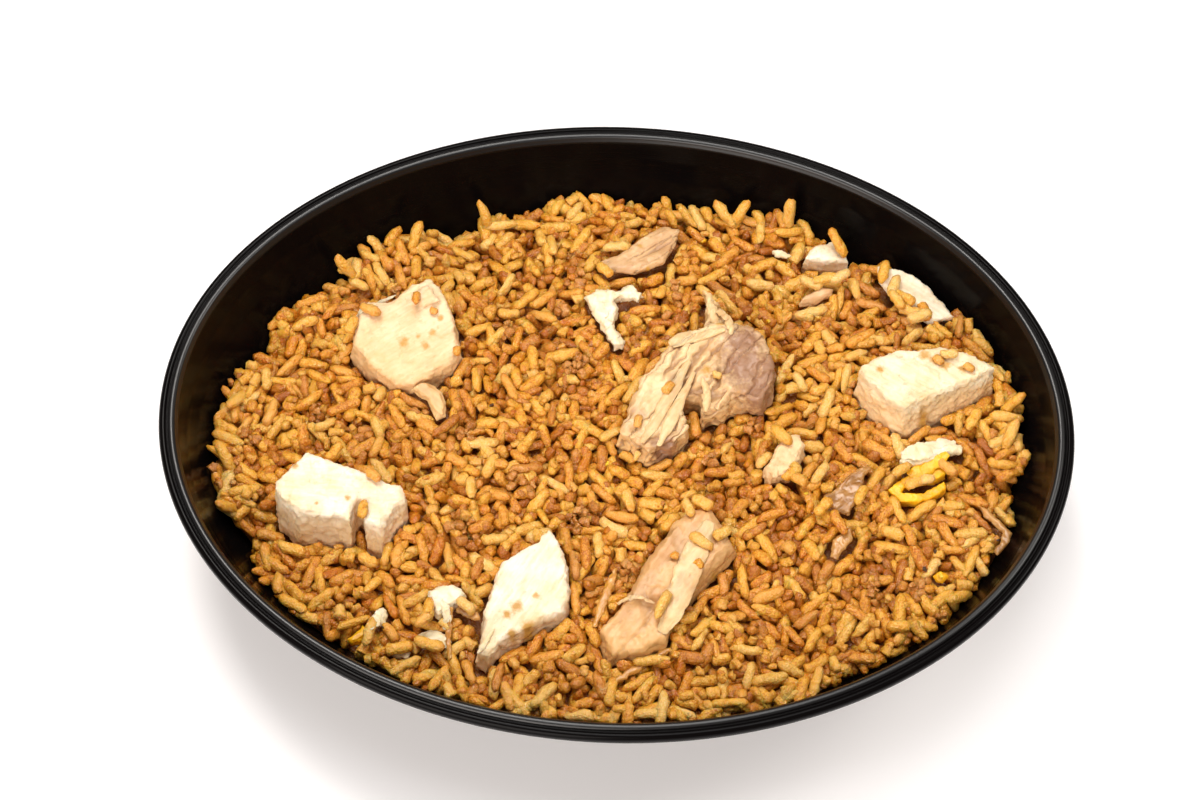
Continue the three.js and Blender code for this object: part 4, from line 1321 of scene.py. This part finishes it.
FINISHES = {
    # slot: name, (dark, light, hollows), stain, skin,
    # then light's way in mm, roughness, fibre spacing in mm and wetness
    "chicken_white": (
        "boiled_breast_meat", ("#e0c89e", "#f0e3cc", "#c89e62"), STAIN, SKIN,
        1.5, 0.5, 0.8, 0.05,
    ),
    "chicken_brown": (
        "braised_thigh_meat", ("#c69a68", "#e4c494", "#96683e"), STAIN, SKIN,
        1.8, 0.42, 0.9, 0.12,
    ),
    "egg_white": (
        "fried_egg_white", ("#dec898", "#e8dcc0", "#c89e5e"), "#c48e3c", "#c49a62",
        1.2, 0.4, 2.0, 0.15,
    ),
    "egg_yolk": (
        "fried_egg_yolk", ("#dc9408", "#f4bc18", "#b4680a"), "#b0620e", "#e2b060",
        1.4, 0.45, 1.2, 0.15,
    ),
    "onion": (
        "soft_fried_onion", ("#8e5e2a", "#c08e50", "#70441a"), "#7d5026", "#7a5e50",
        2.6, 0.3, 1.0, 0.3,
    ),
}


def cooked_food(slot, fibre_turn, tint=None, owner=""):
    """A moist, slightly translucent food: two base tones, sauce stains, a skin tone and fine fibres.
    A tint gives a piece its own dark, light and hollow tones."""
    name, colours, stain, skin, deep, rough, spacing, wet = FINISHES[slot]
    dark, light, hollow_tone = tint or colours
    spacing = spacing * MM
    made, tree, shader = material(f"{name}_{owner}" if owner else name)
    place = add(tree, "ShaderNodeTexCoord").outputs["Object"]
    sockets = {"Vector": place, "Angle": fibre_turn}
    along = add(tree, "ShaderNodeVectorRotate", sockets, rotation_type="Z_AXIS", invert=True).outputs[0]
    stretched = reckon_vector(tree, "MULTIPLY", along, (1 / (9 * spacing), 1 / spacing, 1 / spacing))
    fibre = mottle(tree, stretched, 1.0, 3.0)
    tone = reckon(tree, "MULTIPLY_ADD", fibre, 0.5, mottle(tree, place, 6 * MM, 4.0))
    result = ramp(tree, tone, ((0.5, dark), (0.9, light)))
    edge_noise = mottle(tree, place, 1.1 * MM, 4.0)
    covers = {
        # the lower sides are painted golden and darker: partly sauce, partly painted shade and
        # rice-coloured bounce light
        "sauce_and_shade": spread(tree, named(tree, "sauce_and_shade"), 0, 1, 0, 0.5),
        # the hollows of the relief are drawn a tone darker
        "hollow": spread(tree, named(tree, "hollow"), 0.1, 1.0, 0, 0.75),
    }
    for label in ("skin", "stain"):
        broken = reckon(tree, "MULTIPLY_ADD", edge_noise, 1.1, named(tree, label))
        covers[label] = spread(tree, broken, 0.7, 1.35, 0, 0.9)
    for label, colour in (("sauce_and_shade", SAUCE_AND_SHADE_COLOUR), ("hollow", hollow_tone), ("skin", skin), ("stain", stain)):
        result = blended(tree, covers[label], result, linear(colour))
    relief = bump(tree, fibre, 0.4, 0.35 * MM)
    plug(tree, shader, {
        "Base Color": result,
        "Normal": bump(tree, edge_noise, 0.25, 0.3 * MM, Normal=relief),
        "Roughness": rough,
        "IOR": 1.42,
        "Coat Weight": wet,
        "Coat Roughness": 0.25,
        "Subsurface Weight": 0.45,
        "Subsurface Radius": (1.0, 0.75, 0.5),
        "Subsurface Scale": deep * MM,
    })
    return made


# %% Dressing one topping
# each pair is a size and a depth, and "long" the length of a fibre, all in mm
RELIEF_OF_SLOT = {
    "chicken_white": {
        "Lump": (7.0, 0.4), "Fibre": (0.9, 0.1), "Grit": (0.8, 0.05),
        "Rag": (2.2, 1.7), "Pit": (1.9, 0.12), "Crack": (3.0, 0.12), "long": 8.0,
    },
    "chicken_brown": {
        "Lump": (8.0, 0.5), "Fibre": (1.3, 0.1), "Grit": (0.9, 0.05),
        "Rag": (2.6, 1.8), "Pit": (2.6, 0.15), "Crack": (3.4, 0.3), "long": 18.0,
    },
    "egg_white": {
        "Lump": (3.0, 0.5), "Fibre": (2.0, 0.1), "Grit": (0.8, 0.08),
        "Rag": (1.7, 2.6), "Pit": (1.5, 0.25), "Crack": (3.0, 0.1), "long": 4.0,
    },
    "egg_yolk": {
        "Lump": (2.4, 0.3), "Fibre": (1.2, 0.12), "Grit": (0.7, 0.15),
        "Rag": (1.6, 1.6), "Pit": (1.2, 0.3), "Crack": (2.6, 0.1), "long": 3.0,
    },
    "onion": {
        "Lump": (4.0, 0.2), "Fibre": (1.0, 0.15), "Grit": (0.8, 0.06),
        "Rag": (2.0, 2.4), "Pit": (1.6, 0.15), "Crack": (2.4, 0.2), "long": 12.0,
    },
}
FINE_STEP = 0.36
SMALL_STEP = 0.25
SMALL = 17.0
SMALL_DEPTH = 0.6
WORN_PASSES = (4, 2)
# from how far below a piece's top, and over how many mm, it turns to the sauce and painted shade colour
SAUCE_AND_SHADE_FROM = 1.6
SAUCE_AND_SHADE_OVER = 4.0
slot_of = {row["node"]: row["material_slot"] for row in frame["record"]["subparts"]}


def merged_copy(node):
    """A copy of a node's mesh with its loose triangles joined."""
    shape = bmesh.new()
    shape.from_mesh(frame["nodes"][node].data)
    bmesh.ops.remove_doubles(shape, verts=shape.verts, dist=0.001 * MM)
    mesh = bpy.data.meshes.new(f"{node}_copy")
    shape.to_mesh(mesh)
    shape.free()
    return bare_object(f"{node}_copy", mesh)


def points_of(piece):
    """The places of a piece's points, in mm."""
    points = np.empty(len(piece.data.vertices) * 3, np.float32)
    piece.data.vertices.foreach_get("co", points)
    return points.reshape(-1, 3) / MM


def store(piece, label, value):
    attribute = piece.data.attributes.new(label, "FLOAT", "POINT")
    attribute.data.foreach_set("value", value.astype(np.float32))


def paint(piece, label, spots):
    """Stores how near each point is to the nearest of some (x, y, radius) spots, 1 on it and 0 away."""
    points = points_of(piece)
    value = np.zeros(len(points), np.float32)
    for x, y, radius in spots:
        away = np.hypot(points[:, 0] - x, points[:, 1] - y) / radius
        value = np.maximum(value, np.exp(-(away**2)))
    store(piece, label, value)


def paint_sauce_and_shade(piece):
    """Stores how far each point lies under the piece's top: 0 near it, 1 where sauce has soaked in and
    painted shade and rice-coloured light go.
    """
    z = points_of(piece)[:, 2]
    store(piece, "sauce_and_shade", ((np.quantile(z, 0.97) - z - SAUCE_AND_SHADE_FROM) / SAUCE_AND_SHADE_OVER).clip(0, 1))


def relief_inputs(slot, turn, tip, finish, small, **own):
    sizes = RELIEF_OF_SLOT[slot] | own
    inputs = {"Fibre turn": math.radians(turn), "Fibre tip": math.radians(tip), "Finish": finish}
    inputs["Fibre length"] = sizes["long"] * MM
    for label in RELIEF_SIZES:
        size, depth = sizes[label]
        inputs[f"{label} size"] = size * MM
        inputs[f"{label} depth"] = depth * MM * (SMALL_DEPTH if small else 1)
    return inputs


def dress(node, turn=0.0, tip=0.0, stain=(), skin=(), tint=None, **own):
    """Replaces a topping's solid with a fine one. Turn and tip aim its fibres, in degrees, and a size and
    depth under the name of a relief stand for those of its slot."""
    slot = slot_of[node]
    low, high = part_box(node)
    small = max(high - low) < SMALL * MM
    base = merged_copy(node)
    remesh = base.modifiers.new("even_faces", "REMESH")
    remesh.mode = "VOXEL"
    remesh.voxel_size = (SMALL_STEP if small else FINE_STEP) * MM
    worn = base.modifiers.new("worn_edges", "SMOOTH")
    worn.iterations = WORN_PASSES[small]
    finish = cooked_food(slot, math.radians(turn), tint, node)
    inputs = relief_inputs(slot, turn, tip, finish, small, **own)
    piece = finished(base, food_relief, inputs, f"{node}_food")
    paint(piece, "stain", stain)
    paint(piece, "skin", skin)
    paint_sauce_and_shade(piece)
    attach(piece, "root")
    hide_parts(node)
    print(f"{piece.name}: {len(piece.data.polygons)} faces")
    return piece


# %% [markdown]
# The fibres of each piece run where the cut left them, and the stains lie where the photo shows them.

# %% Chicken
dress(
    "chicken_chunk_back_left",
    turn=35,
    tint=("#dab484", "#e8cea8", "#b8864c"),
    stain=(
        (-53.9, 22.4, 1.4), (-48.4, 21.5, 1.0), (-46.9, 25.0, 1.0), (-45.2, 28.9, 0.9), (-50.5, 23.9, 0.6),
    ),
)
dress(
    "chicken_chunk_front_left",
    tip=80,
    stain=((-63.4, -23.5, 0.9), (-76.8, -15.9, 0.9), (-70.7, -25.4, 0.5)),
    Fibre=(1.0, 0.22),
)
dress(
    "chicken_chunk_right",
    turn=-30,
    tint=("#dcc092", "#ecdcbc", "#c0945a"),
    stain=(
        (75.3, 22.3, 1.6), (80.2, 19.4, 1.5), (77.8, 20.9, 1.4), (75.5, 8.2, 1.3), (84.4, 18.6, 1.2),
        (64.2, 17.6, 1.0),
    ),
    skin=((86, 9, 3.5), (83, 6, 3.0)),
    Pit=(1.5, 0.25),
    Fibre=(1.2, 0.2),
)
dress(
    "chicken_slab_front",
    turn=60,
    stain=(
        (-21.0, -48.6, 1.5), (-23.3, -50.8, 1.0), (-18.2, -53.6, 1.6), (-21.9, -55.2, 1.1),
        (-16.8, -45.8, 0.8),
    ),
)
dress(
    "chicken_slab_middle",
    turn=55,
    skin=(
        (31.1, 17.1, 7.0), (30.5, 24.0, 5.5), (35.5, 10.0, 5.5), (38.0, 17.0, 6.0), (12.7, -5.9, 3.4),
        (18.5, 3.6, 2.2),
    ),
    stain=((21.6, 15.5, 1.4), (24.5, 29.5, 1.4)),
    Fibre=(1.8, 0.2),
    Crack=(5.0, 0.8),
    Rag=(3.0, 2.8),
)
dress(
    "chicken_strip_front",
    turn=58,
    tint=("#bc8852", "#d6a972", "#8c5e32"),
    stain=((20.5, -38.5, 1.6), (25.9, -37.0, 1.2), (16.5, -50.5, 1.6)),
    Crack=(5.0, 0.2),
)
dress(
    "chicken_slice_back",
    turn=38,
    tint=("#b98a5c", "#d2aa7a", "#784c2a"),
    stain=((3.6, 56.1, 0.7), (5.9, 49.0, 0.7)),
    Lump=(5.0, 0.2),
    Crack=(1.7, 0.5),
    Rag=(2.6, 1.2),
    long=30.0,
)
dress(
    "chicken_bit_middle", turn=70, tint=("#d8b080", "#e6c89a", "#bc8848"), Lump=(3.0, 0.7), Rag=(1.8, 3.0)
)
dress("chicken_bit_back_right", turn=20, Rag=(2.0, 2.4))
dress("chicken_slice_right_edge", turn=-35)
dress("chicken_flake_back_left", turn=-40, tint=("#c89a62", "#e0b880", "#9c6c3c"))
dress("chicken_shred_back_right", turn=45, tint=("#c09060", "#d8b284", "#946438"))

# %% Egg and onion
for node in TOPPINGS:
    if slot_of[node] in ("egg_white", "egg_yolk", "onion"):
        dress(node, turn=35 if "middle" in node else -50)

# %% [markdown]
# Torn meat ends in loose strands. Each is a flat tapered shred that follows a few points over the
# piece it hangs on, so its height comes from the map of the toppings. Some thin soft strips that took
# up sauce lie between the grains in the same way.

# %% Strands and strips
STRAND_SIDES = 8
STRAND_STEPS = 18
STRANDS = {
    # slot: rows of width and thickness in mm and the points it passes over
    "chicken_brown": (
        (2.4, 1.4, ((21.3, 38.4), (22.1, 35.5), (23.5, 31.1), (25.1, 26.8))),
        (3.4, 1.4, ((17.7, 26.5), (14.5, 24.0), (12.1, 22.4))),
        (3.8, 1.3, ((6.2, -5.5), (9.5, 0.7), (13.4, 9.3), (17.5, 18.1))),
        (3.2, 1.3, ((10.5, -6.0), (12.8, -0.6), (15.4, 6.6), (18.8, 15.3))),
        (2.8, 1.2, ((12.9, 21.9), (19.7, 25.1), (25.8, 26.9))),
        (2.4, 1.4, ((20.6, 13.3), (22.0, 8.4), (21.7, 4.0))),
        (2.6, 1.3, ((23.4, 34.2), (26.2, 30.8), (27.4, 25.5))),
        (1.8, 0.8, ((2.7, -46.3), (7.0, -45.1), (11.4, -46.5))),
        (7.5, 1.6, ((23.9, -24.6), (20.3, -34.0), (17.4, -43.3), (13.2, -53.4))),
    ),
    "chicken_white": (
        (1.6, 1.0, ((-29.6, -60.6), (-27.9, -57.8), (-26.0, -54.6))),
        (1.4, 1.0, ((-66.6, 33.2), (-62.0, 34.4), (-56.4, 34.6))),
        (1.2, 0.9, ((-67.6, 29.0), (-65.0, 30.4), (-61.0, 31.4))),
    ),
    "egg_white": (
        (5.4, 1.0, ((70.0, -2.6), (76.4, -0.6), (83.7, 3.0))),
        (2.6, 1.0, ((-39.3, -47.6), (-37.6, -50.4), (-38.3, -53.6))),
        (2.2, 0.9, ((-44.0, -56.2), (-40.2, -56.8), (-36.3, -57.9))),
        (2.4, 0.9, ((-54.0, -47.8), (-54.5, -51.0), (-55.8, -54.2))),
    ),
    "egg_yolk": (
        (4.6, 1.2, ((71.9, -7.0), (76.4, -4.6), (81.5, -1.4))),
    ),
    "onion": (
        (2.2, 1.4, ((-0.4, -66.8), (4.9, -62.4), (11.8, -57.6), (16.0, -55.4))),
        (2.4, 1.2, ((2.0, -35.8), (-0.2, -43.2), (-2.8, -51.5))),
        (1.8, 1.1, ((-36.2, -60.6), (-37.1, -54.6), (-36.6, -48.8))),
    ),
}
STRAND_TINTS = {
    "egg_white": None,
    "egg_yolk": None,
    "chicken_brown": ("#cca06a", "#e0be8c", "#9e7046"),
    "chicken_white": ("#dcc294", "#eedfc2", "#c09860"),
    "onion": ("#a86e28", "#cc9242", "#7c4a18"),
}


def top_at(x, y, around=1.2):
    """The height of the toppings near a point, or of the rice where there are none."""
    near = np.hypot(plan_x - x, plan_y - y) < around
    found = topping_height[near].max()
    return found if found > 0 else np.quantile(surface[near], 0.7)


def strand(wide, thick, stops):
    """Points and faces of a shred that tapers to both ends."""
    stops = np.array([(x, y, top_at(x, y) + thick * 0.1) for x, y in stops])
    share = np.linspace(0, 1, STRAND_STEPS)
    curve = np.polyfit(np.linspace(0, 1, len(stops)), stops, len(stops) - 1)
    line = np.stack([np.polyval(curve[:, k], share) for k in range(3)], -1)
    ahead = np.gradient(line, axis=0)
    ahead /= np.linalg.norm(ahead, axis=1)[:, None]
    aside = np.cross(ahead, (0, 0, 1))
    aside /= np.linalg.norm(aside, axis=1)[:, None]
    points = []
    up = np.array([0, 0, 1])
    for s, at, side in zip(share, line, aside):
        swell = 0.25 + 0.75 * math.sin(math.pi * min(max(s, 0.03), 0.97)) ** 0.6
        size = swell * draw.uniform(0.85, 1.1) / 2
        for k in range(STRAND_SIDES):
            t = 2 * math.pi * k / STRAND_SIDES
            points.append(at + side * wide * size * math.cos(t) + up * thick * size * math.sin(t))
    faces = [list(range(STRAND_SIDES))[::-1]]
    for ring in range(STRAND_STEPS - 1):
        for k in range(STRAND_SIDES):
            a, b = ring * STRAND_SIDES + k, ring * STRAND_SIDES + (k + 1) % STRAND_SIDES
            faces.append((a, b, b + STRAND_SIDES, a + STRAND_SIDES))
    faces.append([(STRAND_STEPS - 1) * STRAND_SIDES + k for k in range(STRAND_SIDES)])
    return points, faces


def strand_piece(slot, rows):
    points, faces = [], []
    for row in rows:
        more_points, more_faces = strand(*row)
        faces += [[k + len(points) for k in face] for face in more_faces]
        points += more_points
    mesh = bpy.data.meshes.new(f"strands_{slot}")
    mesh.from_pydata([(p * MM).tolist() for p in points], [], faces)
    base = bare_object(f"strands_{slot}", mesh)
    outward(base)
    rounded = base.modifiers.new("rounded", "SUBSURF")
    rounded.levels = rounded.render_levels = 2
    finish = cooked_food(slot, math.radians(55), STRAND_TINTS[slot], "strands")
    piece = finished(base, food_relief, relief_inputs(slot, 55, 0, finish, True), f"torn_strands_{slot}")
    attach(piece, "root")
    print(f"{piece.name}: {len(piece.data.polygons)} faces")


for slot, rows in STRANDS.items():
    strand_piece(slot, rows)

# %% Clearing away the master grains
for collection in masters.values():
    for master in list(collection.objects):
        bpy.data.objects.remove(master)
    bpy.data.collections.remove(collection)
